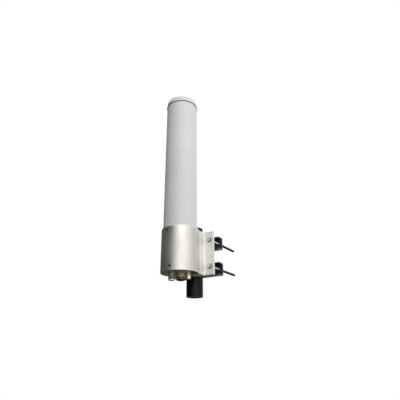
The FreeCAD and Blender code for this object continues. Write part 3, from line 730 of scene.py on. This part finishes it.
# %% [markdown]
# ## The sleeve
#
# The sleeve is one extrusion: a round tube in front, flat sides that run back from it, two wings, and a
# shallow V at the back for the mast.  It could be modelled as a cylinder joined to boxes, but an
# extrusion is simply its outline carried upwards, and every hollow corner is then an arc of the die.
# The bore, two lightening chambers, four bolt holes, six screw holes and a bevel at the top are cut
# afterwards.

# %% The sleeve's outline
wing_front, neck_half, ring_fillet, wing_fillet = 47.0, 37.4, 10.0, 4.0
seat_apex, seat_slope, seat_half, seat_edge = 43.9, 15.0, 20.0, 24.0


def arc(centre, radius, start, stop, count):
    """Points on an arc between two angles in degrees."""
    angle = np.radians(np.linspace(start, stop, count))
    return np.column_stack([centre[0] + radius * np.cos(angle), centre[1] + radius * np.sin(angle)])


def sleeve_outline():
    """Round front, hollow corners and flat sides, wings, and the V seat between them.  A hollow corner's
    centre lies its own radius outside both faces that it joins."""
    ring_x = neck_half + ring_fillet
    ring_y = math.sqrt((sleeve_radius + ring_fillet) ** 2 - ring_x ** 2)
    lean = math.degrees(math.atan2(ring_y, ring_x))
    wing_x, wing_y = neck_half + wing_fillet, wing_front - wing_fillet
    rise = seat_half * math.tan(math.radians(seat_slope))
    half = np.vstack([
        arc((ring_x, ring_y), ring_fillet, 180 + lean, 180, 16)[1:],
        arc((wing_x, wing_y), wing_fillet, 180, 90, 14),
        [(wing_half_width, wing_front), (wing_half_width, wing_back), (seat_edge, wing_back),
         (seat_half, seat_apex + rise)]])
    front = arc((0, 0), sleeve_radius, -180 - lean, lean, 220)
    return np.vstack([front, half, [(0, seat_apex)], half[::-1] * (-1, 1)])


def chamber(side):
    """Outline of the lightening chamber beside the seat, bounded inside by the round wall."""
    inner, outer = 13.5, 34.0
    angles = [math.degrees(math.acos(x / sleeve_radius)) for x in (outer, inner)]
    back = [(inner, 43.4), (22.5, 45.9), (26.0, 47.0), (32.5, 47.0), (outer, 45.5)]
    return np.vstack([back, arc((0, 0), sleeve_radius, *angles, 12)]) * (side, 1)


print("the sleeve's outline has", len(sleeve_outline()), "points")

# %% What is cut from the sleeve
sleeve_bore = 40.25
bolt_x, bolt_heights, bolt_hole = 51.6, (20.0, 83.5), 3.4
screw_radius = 3.0
screw_places = [(angle, 10.0) for angle in (-86.0, 34.0, 154.0)]
screw_places += [(angle, 93.4) for angle in (-99.0, 21.0, 141.0)]
bevel_depth, bevel_height, bevel_reach, bevel_over = 1.2, 2.4, 13.0, 1.0
overrun, screw_overrun = 5.0, 3.0   # how far a cutter runs past what it cuts


def drill(radius, start, stop, origin, direction, segments=48):
    """A cutter: a plain rod between two distances along a direction."""
    rows = plain([(0, start, 0), (radius, start, 0), (radius, stop, 0), (0, stop, 0)], 1)
    points, faces = turned(rows, segments, closed=False)
    return aimed(points, origin, direction), faces


def outward(angle):
    """Level direction at an angle in degrees."""
    return math.cos(math.radians(angle)), math.sin(math.radians(angle)), 0.0


def on_axis(height):
    """Point on the antenna's axis."""
    return on_antenna([(0, 0, height)])[0]


def screw_drills(inner, outer):
    """A rod through the wall for every set screw."""
    return [drill(screw_radius, inner - screw_overrun, outer, on_axis(height), outward(angle), 40)
            for angle, height in screw_places]


def bolt_drills(radius, front, back, heights):
    """A rod along every bolt at the given heights, between two distances behind the antenna's axis."""
    origins = on_antenna([(side * bolt_x, 0, height) for height in heights for side in (1, -1)])
    return [drill(radius, front - overrun, back + overrun, origin, (0, 1, 0)) for origin in origins]


def carried_round(profile, start, stop, count=180):
    """A closed outline of (radius, height) carried round the axis between two angles, both ends filled."""
    radius, height = np.array(profile).T
    angle = np.radians(np.linspace(start, stop, count))[:, None]
    points = np.stack([radius * np.cos(angle), radius * np.sin(angle), height + 0 * angle], -1)
    corners = len(profile)
    ends = [list(range(corners)), list(range((count - 1) * corners, count * corners))[::-1]]
    return points.reshape(-1, 3), grid_faces(count, corners, False) + ends


def rim_cutter():
    """What is turned away round the front for the bevel at the top."""
    inner, outer = sleeve_radius - bevel_depth, sleeve_radius + bevel_over
    foot = sleeve_height - bevel_height - bevel_over * bevel_height / bevel_depth
    top = sleeve_height + bevel_over
    profile = [(inner, sleeve_height), (outer, foot), (outer, top), (inner, top)]
    return placed(carried_round(profile, -180 - bevel_reach, bevel_reach))


print(len(screw_places), "screw holes and", 2 * len(bolt_heights), "bolt holes to drill")

# %% Sleeve
extrusion = placed(extruded(sleeve_outline(), 0, sleeve_height))
below, above = -overrun, sleeve_height + overrun
through = [drill(sleeve_bore, below, above, on_axis(0), (0, 0, 1), 220)]
through += [placed(extruded(chamber(side), below, above)) for side in (1, -1)]
through += bolt_drills(bolt_hole, wing_front, wing_back, bolt_heights)
dress("sleeve_extrusion", "clamp_sleeve", [extrusion], through,
      screw_drills(sleeve_bore, sleeve_radius + overrun), [rim_cutter()], bevel=0.3, sharp_angle=40)

# %% [markdown]
# ## Radome, gasket and cap
#
# The radome is a plain tube whose ends are cut and lightly broken.  Under the cap sits a thin rubber ring
# that stands a little proud, which is the dark line near the top.  The cap leans in a little towards its
# top for the mould, has a generous edge, and a low crown that sheds water.  All three are turned outlines.

# %% Radome, gasket, cap
wall = 3.0
radome_inner = radome_radius - wall
slip_fit = 0.05                     # gap round a piece that is pushed into another
foot = radome_low[2] - base_z
seam_low = radome_high[2] - base_z
seam_high = gasket_high[2] - base_z
cap_top = cap_high[2] - base_z
gasket_radius = gasket_high[0]

tube_rows = plain([(radome_inner, foot, 0.4), (radome_radius, foot, 0.5),
                   (radome_radius, seam_low, 0.5), (radome_inner, seam_low, 0.3)])
dress("radome_shell", "radome_tube", [placed(turned(tube_rows, 256))],
      screw_drills(radome_inner, radome_radius + screw_overrun))

gasket_rows = plain([(radome_inner, seam_low, 0.2), (gasket_radius, seam_low, 0.45),
                     (gasket_radius, seam_high, 0.45), (radome_inner, seam_high, 0.2)], 5)
dress("seam_gasket", "cap_gasket", [placed(turned(gasket_rows, 256))])


def cap_rows():
    """Outside: a wall that leans in, a rounded edge and a crown, whose middle corner is a wide arc.  Inside:
    the same less the wall, and the spigot that drops into the tube."""
    crown, edge, top_radius, spigot_wall, spigot_depth = 2.0, 2.5, 39.4, 3.4, 14.0
    flat, spigot_end = cap_top - crown, seam_high - spigot_depth
    spigot = radome_inner - slip_fit
    inner = spigot - spigot_wall
    return plain([
        (0, cap_top, 0), (top_radius * 0.5, flat + crown * 0.72, 30.0), (top_radius - 0.4, flat + 0.1, edge),
        (radome_radius, seam_high, 0.5), (spigot, seam_high, 0.1), (spigot, spigot_end, 0.6),
        (inner, spigot_end, 0.4), (inner, flat - wall, 1.5), (0, cap_top - wall, 0)], 10)


dress("radome_cap_shell", "radome_cap", [placed(turned(cap_rows(), 256, closed=False))], sharp_angle=50)

# %% [markdown]
# ## The mast stub and its plugs
#
# The mast is a round steel tube with a shallow mark that shows how far it goes into a socket.  A plug of
# black plastic closes each end.

# %% Mast
mast_top = mast_high[2]
mast_wall = 2.5
mast_inner = mast_radius - mast_wall
mark_low, mark_high, mark_depth = 40.0, 42.0, 0.4
mark_radius = mast_radius - mark_depth
mast_rows = plain([
    (mast_inner, 0, 0.3), (mast_radius, 0, 0.4), (mast_radius, mark_low, 0.1), (mark_radius, mark_low, 0.1),
    (mark_radius, mark_high, 0.1), (mast_radius, mark_high, 0.1), (mast_radius, mast_top, 0.4),
    (mast_inner, mast_top, 0.3)])
dress("mast_tube", "mast_stub", [turned(mast_rows, 192)])

plug_radius, plug_depth = mast_inner - slip_fit, 12.0
top_lip = low_high("mast_top_plug")[1][2]
top_plug_foot = mast_top - plug_depth
top_plug_rows = plain([(0, top_plug_foot, 0), (plug_radius, top_plug_foot, 1.0), (plug_radius, mast_top, 0),
                       (mast_radius, mast_top, 0.3), (mast_radius, top_lip, 1.2), (0, top_lip, 0)])
dress("mast_top_cap", "mast_top_plug", [turned(top_plug_rows, 128, closed=False)])

foot_recess, dimple_height, dimple_radius = 1.0, 1.6, 9.0
foot_plug_rows = plain([(0, dimple_height, 0), (dimple_radius, dimple_height, 0.5),
                        (dimple_radius + 1.0, foot_recess, 0.4), (plug_radius, foot_recess, 0.5),
                        (plug_radius, plug_depth, 0.8), (0, plug_depth, 0)])
dress("mast_foot_plug", "mast_bottom_plug", [turned(foot_plug_rows, 128, closed=False)])

# %% [markdown]
# ## Bolts, washers and nuts
#
# Four long bolts pass back through the wings.  Each is a turned row list: a chamfered hexagon head, a
# smooth shank and a long thread.  The washers are punched rings, and a spring washer is a ring with a
# split, cut from square wire: its section is carried round an arc that stops short of a full turn.

# %% Bolts
bolt_radius, thread_pitch, thread_depth = 3.0, 1.0, 0.5
head_flats, head_height, head_face, head_face_height = 10.0, 4.0, 4.7, 0.25
washer_radius, washer_thickness = 6.0, 1.6
head_seat = wing_front - washer_thickness
bolt_end = bolts_high[1] - antenna_y - head_seat
thread_from = thread_start - head_seat


def bolt_rows():
    """Head below zero, with a round face under it, then shank and thread, along the bolt's own axis."""
    fillet, chamfer = 0.35, 0.75
    return np.vstack([
        sharp((0, -head_height)),
        hexagonal(head_flats, -head_height, -head_face_height, True, False),
        sharp((head_face, -head_face_height), (head_face, 0), (bolt_radius + fillet, 0)),
        sharp((bolt_radius, fillet + 0.05), (bolt_radius, thread_from)),
        threaded(bolt_radius - 0.02, thread_from, bolt_end - 0.8, thread_depth, thread_pitch),
        sharp((bolt_radius - thread_depth, bolt_end - 0.5), (bolt_radius - chamfer, bolt_end)),
        sharp((0, bolt_end))])


def at_bolts(part, start, heights):
    """The same part on every bolt at the given heights, starting behind the antenna's axis."""
    points, faces = part
    origins = on_antenna([(side * bolt_x, start, height) for height in heights for side in (-1, 1)])
    return [(aimed(points, origin, (0, 1, 0)), faces) for origin in origins]


bolt = turned(bolt_rows(), 30, thread_pitch, closed=False)
dress("wing_bolts", "clamp_bolts", at_bolts(bolt, head_seat, bolt_heights), sharp_angle=40)

# %% Washers and nuts
spring_radius, spring_thickness, spring_split = 5.6, 1.6, 0.8
nut_height, nut_mouth, thread_gap = 5.0, 3.6, 0.06
hole = bolt_radius + thread_gap

flat_rows = plain([(hole, 0, 0.12), (washer_radius, 0, 0.2), (washer_radius, washer_thickness, 0.35),
                   (hole, washer_thickness, 0.2)], 3)
nut_rows = np.vstack([
    hexagonal(head_flats, 0, nut_height, True, True),
    sharp((nut_mouth, nut_height), (hole, nut_height - 0.5), (hole, 0.5), (nut_mouth, 0))])


def spring_washer():
    """A rounded square section carried round an arc that stops short of a turn by the split; the first and
    last sections shrink to their middle, which closes the ends."""
    section = rounded([(hole, 0, 0.15), (spring_radius, 0, 0.2), (spring_radius, spring_thickness, 0.2),
                       (hole, spring_thickness, 0.15)], 2)
    gap = math.asin(spring_split / 2 / ((hole + spring_radius) / 2))
    angle = np.linspace(math.pi / 2 + gap, math.pi * 5 / 2 - gap, 60)
    angle = np.concatenate([angle[:1], angle, angle[-1:]])[:, None]
    size = np.ones_like(angle)
    size[[0, -1]] = 0.0
    middle = section.mean(0)
    radius = middle[0] + (section[:, 0] - middle[0])[None, :] * size
    height = middle[1] + (section[:, 1] - middle[1])[None, :] * size
    points = np.stack([radius * np.cos(angle), -radius * np.sin(angle), height], -1).reshape(-1, 3)
    return points, grid_faces(len(angle), len(section), False)


flat_washer = turned(flat_rows, 48)
dress("head_washers", "front_washers", at_bolts(flat_washer, head_seat, bolt_heights))
jaw_back = jaw_high[1] - antenna_y
flat_end = jaw_back + washer_thickness
behind_jaw = [("plain_washers", "flat_washers", flat_washer, jaw_back),
              ("split_washers", "spring_washers", spring_washer(), flat_end),
              ("hex_nuts", "nuts", turned(nut_rows, 48), flat_end + spring_thickness)]
clamps = {"upper": bolt_heights[1], "lower": bolt_heights[0]}
for clamp, height in clamps.items():
    for piece_name, node_name, part, start in behind_jaw:
        dress(f"{clamp}_{piece_name}", f"{clamp}_{node_name}", at_bolts(part, start, [height]))

# %% [markdown]
# ## The jaws
#
# Each jaw is a steel strip folded into a channel, with a V cut through both flanges.  Small teeth along
# the V bite into the mast.  The fold's section is an outline with two large and two small arcs, carried
# along the jaw.  The V and the bolt holes are cut from it, as a punch would.

# %% Jaws
jaw_front, jaw_half_width = jaw_low[1] - antenna_y, jaw_high[0]
jaw_half_height, jaw_sheet, jaw_bend = (jaw_high[2] - jaw_low[2]) / 2, 3.0, 4.0
jaw_slope, tooth_pitch, tooth_depth, grip_gap = math.radians(60), 2.2, 0.9, 0.25
jaw_hole, notch_half = bolt_radius + 0.5, jaw_half_height + overrun


def jaw_section():
    """Channel in (depth, height), open towards the mast."""
    high, inside = jaw_half_height, jaw_half_height - jaw_sheet
    return rounded([
        (jaw_front, high, 0), (jaw_back, high, jaw_bend), (jaw_back, -high, jaw_bend), (jaw_front, -high, 0),
        (jaw_front, -inside, 0), (jaw_back - jaw_sheet, -inside, jaw_bend - jaw_sheet),
        (jaw_back - jaw_sheet, inside, jaw_bend - jaw_sheet), (jaw_front, inside, 0)], 6)


def jaw_notch():
    """V in (across, depth) with a tooth every pitch; the teeth's tips lie on the V's flanks."""
    apex = mast_offset + (mast_radius + grip_gap) / math.sin(jaw_slope)
    flank = (apex - jaw_front) / math.cos(jaw_slope)
    count = int(flank / tooth_pitch)
    tips = flank - np.arange(count + 1) * tooth_pitch
    roots = tips[:-1] - tooth_pitch / 2
    tip_points = np.column_stack([tips * math.sin(jaw_slope), apex - tips * math.cos(jaw_slope)])
    root_points = np.column_stack([roots * math.sin(jaw_slope) + tooth_depth * math.cos(jaw_slope),
                                   apex - roots * math.cos(jaw_slope) + tooth_depth * math.sin(jaw_slope)])
    right = np.empty((2 * count + 1, 2))
    right[0::2], right[1::2] = tip_points, root_points
    mouth = (right[0, 0] + math.tan(jaw_slope) * overrun, jaw_front - overrun)
    left = right[::-1] * (-1, 1)
    return np.vstack([[mouth], right, [(0, apex)], left, [(-mouth[0], mouth[1])]])


points, faces = extruded(jaw_section(), -jaw_half_width, jaw_half_width)
strip = points[:, [2, 0, 1]], faces         # across, depth and height become X, Y and Z
for clamp, height in clamps.items():
    cutters = [placed(extruded(jaw_notch(), -notch_half, notch_half), (0, 0, height))]
    cutters += bolt_drills(jaw_hole, jaw_front, jaw_back, [height])
    dress(clamp + "_folded_jaw", clamp + "_jaw", [placed(strip, (0, 0, height))], cutters, bevel=0.35)

# %% [markdown]
# ## Set screws
#
# Six socket screws pin the radome in the sleeve.  Only their ends show, as small dark dots, but each has
# its thread, a cone at the inner end, and a hexagonal socket.

# %% Set screws
screw_recess, screw_pitch, screw_thread = 1.2, 0.8, 0.35
screw_inner, screw_outer = 33.5, sleeve_radius - screw_recess
cone_end, cone_tip, screw_chamfer = screw_inner + 0.9, 1.2, 0.4
socket_flats, socket_depth = 3.0, 3.0
socket_floor = screw_outer - socket_depth
beyond = 2 * screw_radius           # any radius outside the hexagon, which then sets the socket's own
screw_rows = np.vstack([
    sharp((0, screw_inner), (cone_tip, screw_inner), (screw_radius - screw_chamfer, cone_end)),
    threaded(screw_radius - 0.06, cone_end, screw_outer - screw_chamfer, screw_thread, screw_pitch),
    sharp((screw_radius - 0.3, screw_outer), (socket_flats / 2 + 0.35, screw_outer)),
    [(beyond, screw_outer - 0.25, 0, socket_flats), (beyond, socket_floor, 0, socket_flats)],
    sharp((0, socket_floor - 0.5))])
points, faces = turned(screw_rows, 36, screw_pitch, closed=False)
screws = [(aimed(points, on_axis(height), outward(angle)), faces) for angle, height in screw_places]
dress("socket_screws", "set_screws", screws, sharp_angle=40)

# %% [markdown]
# ## The ports
#
# Three coaxial ports hang from the base plug, in a row that is turned against the wings.  Seen from below
# their mouths show: a flat rim, a bore, a white bead, and a contact in the middle.  Each body is one list
# of rows, from the rim up the outside to the top of the shank and down again through the bore.

# %% Port bodies
plug_underside, plug_top, port_floor = 4.0, 18.0, 2.0
relief_height, shank_above, contact_gap = 1.2, 4.5, 1.0
row_turn = 36.0
ports = {
    "n_port": dict(along=-17.5, front=5.0, barrel=7.95, mouth=-16.5, bore=4.4, contact=1.5, recess=5.2,
                   flange=8.4, flats=0.0, flange_height=3.0, shank=5.6, thread_top=-5.9, undercut=0.5,
                   pitch=1.06, depth=0.42, lip=2.3),
    "hex_port": dict(along=3.0, front=0.0, barrel=10.0, mouth=-15.5, bore=6.2, contact=1.8, recess=6.0,
                     flange=0.0, flats=22.0, flange_height=4.0, shank=6.0, thread_top=-11.6, undercut=1.2,
                     pitch=1.0, depth=0.42, lip=1.0),
    "small_port": dict(along=20.3, front=-4.0, barrel=5.55, mouth=-11.5, bore=4.0, contact=1.2, recess=5.2,
                       flange=6.2, flats=0.0, flange_height=3.0, shank=3.9, thread_top=-2.5, undercut=0.5,
                       pitch=0.91, depth=0.07, lip=1.0),
}
hex_turn = {"hex_port": row_turn - 22.0}


def port_place(port):
    """Centre of a port about the antenna's axis."""
    turn = math.radians(row_turn)
    return np.array([port["along"] * math.cos(turn) + port["front"] * math.sin(turn),
                     port["along"] * math.sin(turn) - port["front"] * math.cos(turn), 0.0])


def port_rows(port):
    """Rim, plain lip, threaded barrel, undercut, flange or hexagon, shank, then back down the bore."""
    barrel, mouth, bore, shank = port["barrel"], port["mouth"], port["bore"], port["shank"]
    lip_top, lip_radius = mouth + port["lip"], barrel - port["depth"]
    thread_top, undercut = port["thread_top"], barrel - port["undercut"]
    flange_low = plug_underside - port["flange_height"]
    relief_top = thread_top + relief_height
    top = plug_top + shank_above
    inner = port["contact"] + contact_gap
    outside = [
        sharp((barrel - 0.9, mouth), (lip_radius, mouth + 0.5), (lip_radius, lip_top - 0.4)),
        threaded(barrel - 0.02, lip_top, thread_top, port["depth"], port["pitch"], 8),
        sharp((undercut, thread_top + 0.1), (undercut, relief_top - 0.1),
              (barrel, relief_top), (barrel, flange_low))]
    if port["flats"]:
        outside.append(hexagonal(port["flats"], flange_low, plug_underside, True, False))
    else:
        flange, edge = port["flange"], 0.35
        outside.append(sharp((flange - edge, flange_low), (flange, flange_low + edge)))
        outside.append(sharp((flange, plug_underside)))
    inside = sharp((shank, plug_underside), (shank, top - 0.4), (shank - 0.4, top), (inner, top),
                   (inner, port_floor), (bore, port_floor), (bore, mouth + 0.6), (bore + 0.6, mouth))
    return np.vstack(outside + [inside])


for port_name, port in ports.items():
    points, faces = turned(port_rows(port), 120, port["pitch"])
    turn = math.radians(hex_turn.get(port_name, row_turn))
    spin = np.array([[math.cos(turn), math.sin(turn), 0], [-math.sin(turn), math.cos(turn), 0], [0, 0, 1]])
    shell = placed((points @ spin, faces), port_place(port))
    dress(port_name + "_shell", port_name + "_body", [shell], sharp_angle=30)

# %% [markdown]
# Each port's contact is a gold socket whose tip is split in four, so that it can spring open.  It is
# turned, bored, and slotted with two crossed cuts.

# %% Contacts and beads
contact_top, bore_depth, slot_half = 26.0, 5.0, 0.14
bead_set_back, bead_reach = 4.0, contact_top - 4.0

for port_name, port in ports.items():
    place = port_place(port)
    low, radius = port["mouth"] + port["recess"], port["contact"]
    rows = sharp((radius, low + 0.25), (radius, contact_top), (0, contact_top), (0, low + bore_depth),
                 (radius * 0.55, low + bore_depth - 0.4), (radius * 0.55, low + 0.1), (radius * 0.7, low),
                 (radius - 0.25, low))
    slots = []
    for x, y in ((radius + 1, slot_half), (slot_half, radius + 1)):
        slot = extruded([(-x, -y), (x, -y), (x, y), (-x, y)], low - 2, low + bore_depth - 1)
        slots.append([placed(slot, place)])
    dress(port_name + "_split_contact", port_name + "_contact", [placed(turned(rows, 48), place)], *slots,
          sharp_angle=30)

    bead_low, bead_step = low + bead_set_back, low + bead_set_back + 0.4
    hole, wide, tube = radius + slip_fit, port["bore"] - slip_fit, radius + contact_gap - slip_fit
    bead_rows = plain([
        (hole, bead_low, 0), (port["bore"] - 1.1, bead_low, 0.2), (port["bore"] - 0.9, bead_step, 0.1),
        (wide, bead_step, 0.2), (wide, port_floor, 0), (tube, port_floor, 0),
        (tube, bead_reach, 0.2), (hole, bead_reach, 0)], 3)
    dress(port_name + "_bead", port_name + "_insulator", [placed(turned(bead_rows, 64), place)])

# %% [markdown]
# ## Floor, background and light
#
# The antenna is held by its mast, so nothing touches the floor: a wide pale floor lies well below it and
# fades into the white of the background.  Lamps would do for paint, but satin metal shows what stands
# round it, so the light here is the room itself: one smooth ring of soft panels, given as a brightness for
# each direction.  It is dim on the left, brightest in front and a little to the right, and fairly bright
# on the right and behind.  The camera sees the floor pale.  The metal sees it dim under the antenna, which
# keeps the undersides dark, as they are in a photograph taken from below.  Further out the metal sees the
# ring through the floor.

# %% Floor
floor_height, floor_reach, floor_lines = -500.0, 20000.0, 9
floor_glow = (0.08, 0.07, 0.055)
paint_fade, glow_fade = (0.7, 2.4), (1.0, 2.6)      # metres from the middle, from full to gone

line = np.linspace(-1, 1, floor_lines) * floor_reach
across, along = np.meshgrid(line, line, indexing="ij")
floor_points = np.stack([across, along, np.full_like(across, floor_height)], -1).reshape(-1, 3)
row, column = np.meshgrid(np.arange(floor_lines - 1), np.arange(floor_lines - 1), indexing="ij")
corner = row * floor_lines + column
floor_quads = np.stack([corner, corner + floor_lines, corner + floor_lines + 1, corner + 1], -1)
floor_mesh = bpy.data.meshes.new("floor")
floor_mesh.from_pydata(floor_points * MM, [], floor_quads.reshape(-1, 4).tolist())
floor = bpy.data.objects.new("floor", floor_mesh)
bpy.context.scene.collection.objects.link(floor)


def mixed_shader(tree, share, first, second):
    """The first shader where the share is 0, the second where it is 1."""
    return put(tree, "ShaderNodeMixShader", {0: share, 1: first, 2: second}).outputs[0]


def glow(tree, colour):
    """A shader that shines evenly in one colour."""
    return put(tree, "ShaderNodeEmission", {"Color": (*colour, 1), "Strength": 1.0}).outputs[0]


floor_paint = bpy.data.materials.new("pale_floor")
floor_paint.use_nodes = True
tree = floor_paint.node_tree
shader = tree.nodes["Principled BSDF"]
shader.inputs["Base Color"].default_value = (0.86, 0.86, 0.855, 1)
shader.inputs["Roughness"].default_value = 0.7
where = put(tree, "ShaderNodeTexCoord").outputs["Object"]
reach = put(tree, "ShaderNodeVectorMath", {0: where}, operation="LENGTH").outputs["Value"]
seen = put(tree, "ShaderNodeLightPath").outputs["Is Camera Ray"]
faded = mixed_shader(tree, remap(tree, reach, *paint_fade), shader.outputs[0], glow(tree, (1, 1, 1)))
clear = put(tree, "ShaderNodeBsdfTransparent").outputs[0]
lit = mixed_shader(tree, remap(tree, reach, *glow_fade), glow(tree, floor_glow), clear)
surface = mixed_shader(tree, seen, lit, faded)
tree.links.new(surface, tree.nodes["Material Output"].inputs["Surface"])
floor_mesh.materials.append(floor_paint)
print("floor at", floor_height, "mm")

# %% [markdown]
# The camera stands low, in front of the antenna and to its right, and looks up at it, so that the ports
# under the base show.  Its heading and distance are given from the antenna's axis, and its drop from the
# sleeve's lower end.  Then it is turned, tipped and rolled a little, one swing at a time.

# %% Camera
view_azimuth, view_distance, view_drop = 34.70, 830.9, 170.4
pitch, turn_right, roll = 22.956, 3.282, -0.346
lens_pixels, picture_pixels = 366.2, 400.0


def swung(first, second, angle):
    """Two directions square to each other, the first swung towards the second by degrees."""
    a = math.radians(angle)
    return first * math.cos(a) + second * math.sin(a), second * math.cos(a) - first * math.sin(a)


def camera_axes():
    """Right, up and backward directions of a camera that faces the antenna and is then turned to its right,
    tipped up and rolled."""
    right, forward = swung(np.array([1.0, 0, 0]), np.array([0, 1.0, 0]), view_azimuth)
    forward, right = swung(forward, right, turn_right)
    forward, up = swung(forward, np.array([0, 0, 1.0]), pitch)
    right, up = swung(right, up, roll)
    return right, up, -forward


azimuth = math.radians(view_azimuth)
camera_from_axis = (view_distance * math.sin(azimuth), -view_distance * math.cos(azimuth), -view_drop)
camera_place = on_antenna([camera_from_axis])[0]
camera_data = bpy.data.cameras.new("camera")
camera_data.sensor_width = 36.0
camera_data.lens = lens_pixels / picture_pixels * camera_data.sensor_width
camera_data.clip_start = 0.01
camera = bpy.data.objects.new("camera", camera_data)
bpy.context.scene.collection.objects.link(camera)
pose = np.eye(4)
pose[:3, :3] = np.stack(camera_axes(), 1)
pose[:3, 3] = camera_place * MM
camera.matrix_world = pose.T.tolist()
bpy.context.scene.camera = camera
print("camera at", (camera_place * MM).round(3), "with a lens of", round(camera_data.lens, 2), "mm")

# %% [markdown]
# The room is only colour on the world around the scene.  Its ring is a colour ramp over the heading, and a
# soft bright ceiling replaces the ring overhead.  The camera sees plain white in its place.

# %% Room
# Degrees to the right of where the camera stands, and the brightness there.
room_light = [(-180, 0.12), (-55, 0.07), (-22, 1.1), (-2, 2.1), (15, 2.2), (35, 1.65), (60, 1.2),
              (75, 1.2), (92, 0.6), (115, 1.1), (140, 1.4), (165, 1.4), (180, 0.12)]
ceiling_light, ceiling_edge = 1.6, (0.62, 0.88)     # the edge is given as heights on a unit ball
room_strength = 0.85


def grey(value):
    """A colour without hue."""
    return (value, value, value, 1)


world = bpy.data.worlds.new("room")
bpy.context.scene.world = world
world.use_nodes = True
tree = world.node_tree
tree.nodes.clear()
toward = put(tree, "ShaderNodeTexCoord").outputs["Generated"]
parts = put(tree, "ShaderNodeSeparateXYZ", {0: toward}).outputs
heading = maths(tree, "ARCTAN2", parts["X"], product(tree, parts["Y"], -1.0))
turns = maths(tree, "DIVIDE", maths(tree, "SUBTRACT", heading, math.radians(view_azimuth)), 2 * math.pi)
ring_of_panels = put(tree, "ShaderNodeValToRGB", {0: maths(tree, "FRACT", maths(tree, "ADD", turns, 0.5))})
ramp = ring_of_panels.color_ramp
ramp.elements.remove(ramp.elements[1])
ramp.elements[0].position = 0.0
ramp.elements[0].color = grey(room_light[0][1])
for to_right, brightness in room_light[1:]:
    ramp.elements.new(to_right / 360 + 0.5).color = grey(brightness)
overhead = remap(tree, parts["Z"], *ceiling_edge)
room_colour = blend(tree, overhead, ring_of_panels.outputs["Color"], grey(ceiling_light)[:3])
room = put(tree, "ShaderNodeBackground", {"Color": room_colour, "Strength": room_strength}).outputs[0]
backdrop = put(tree, "ShaderNodeBackground", {"Color": (1, 1, 1, 1), "Strength": 1.0}).outputs[0]
seen = put(tree, "ShaderNodeLightPath").outputs["Is Camera Ray"]
world_end = put(tree, "ShaderNodeOutputWorld").inputs["Surface"]
tree.links.new(mixed_shader(tree, seen, room, backdrop), world_end)
bpy.context.scene.view_settings.view_transform = "Standard"
print("room of", len(ramp.elements), "panels")
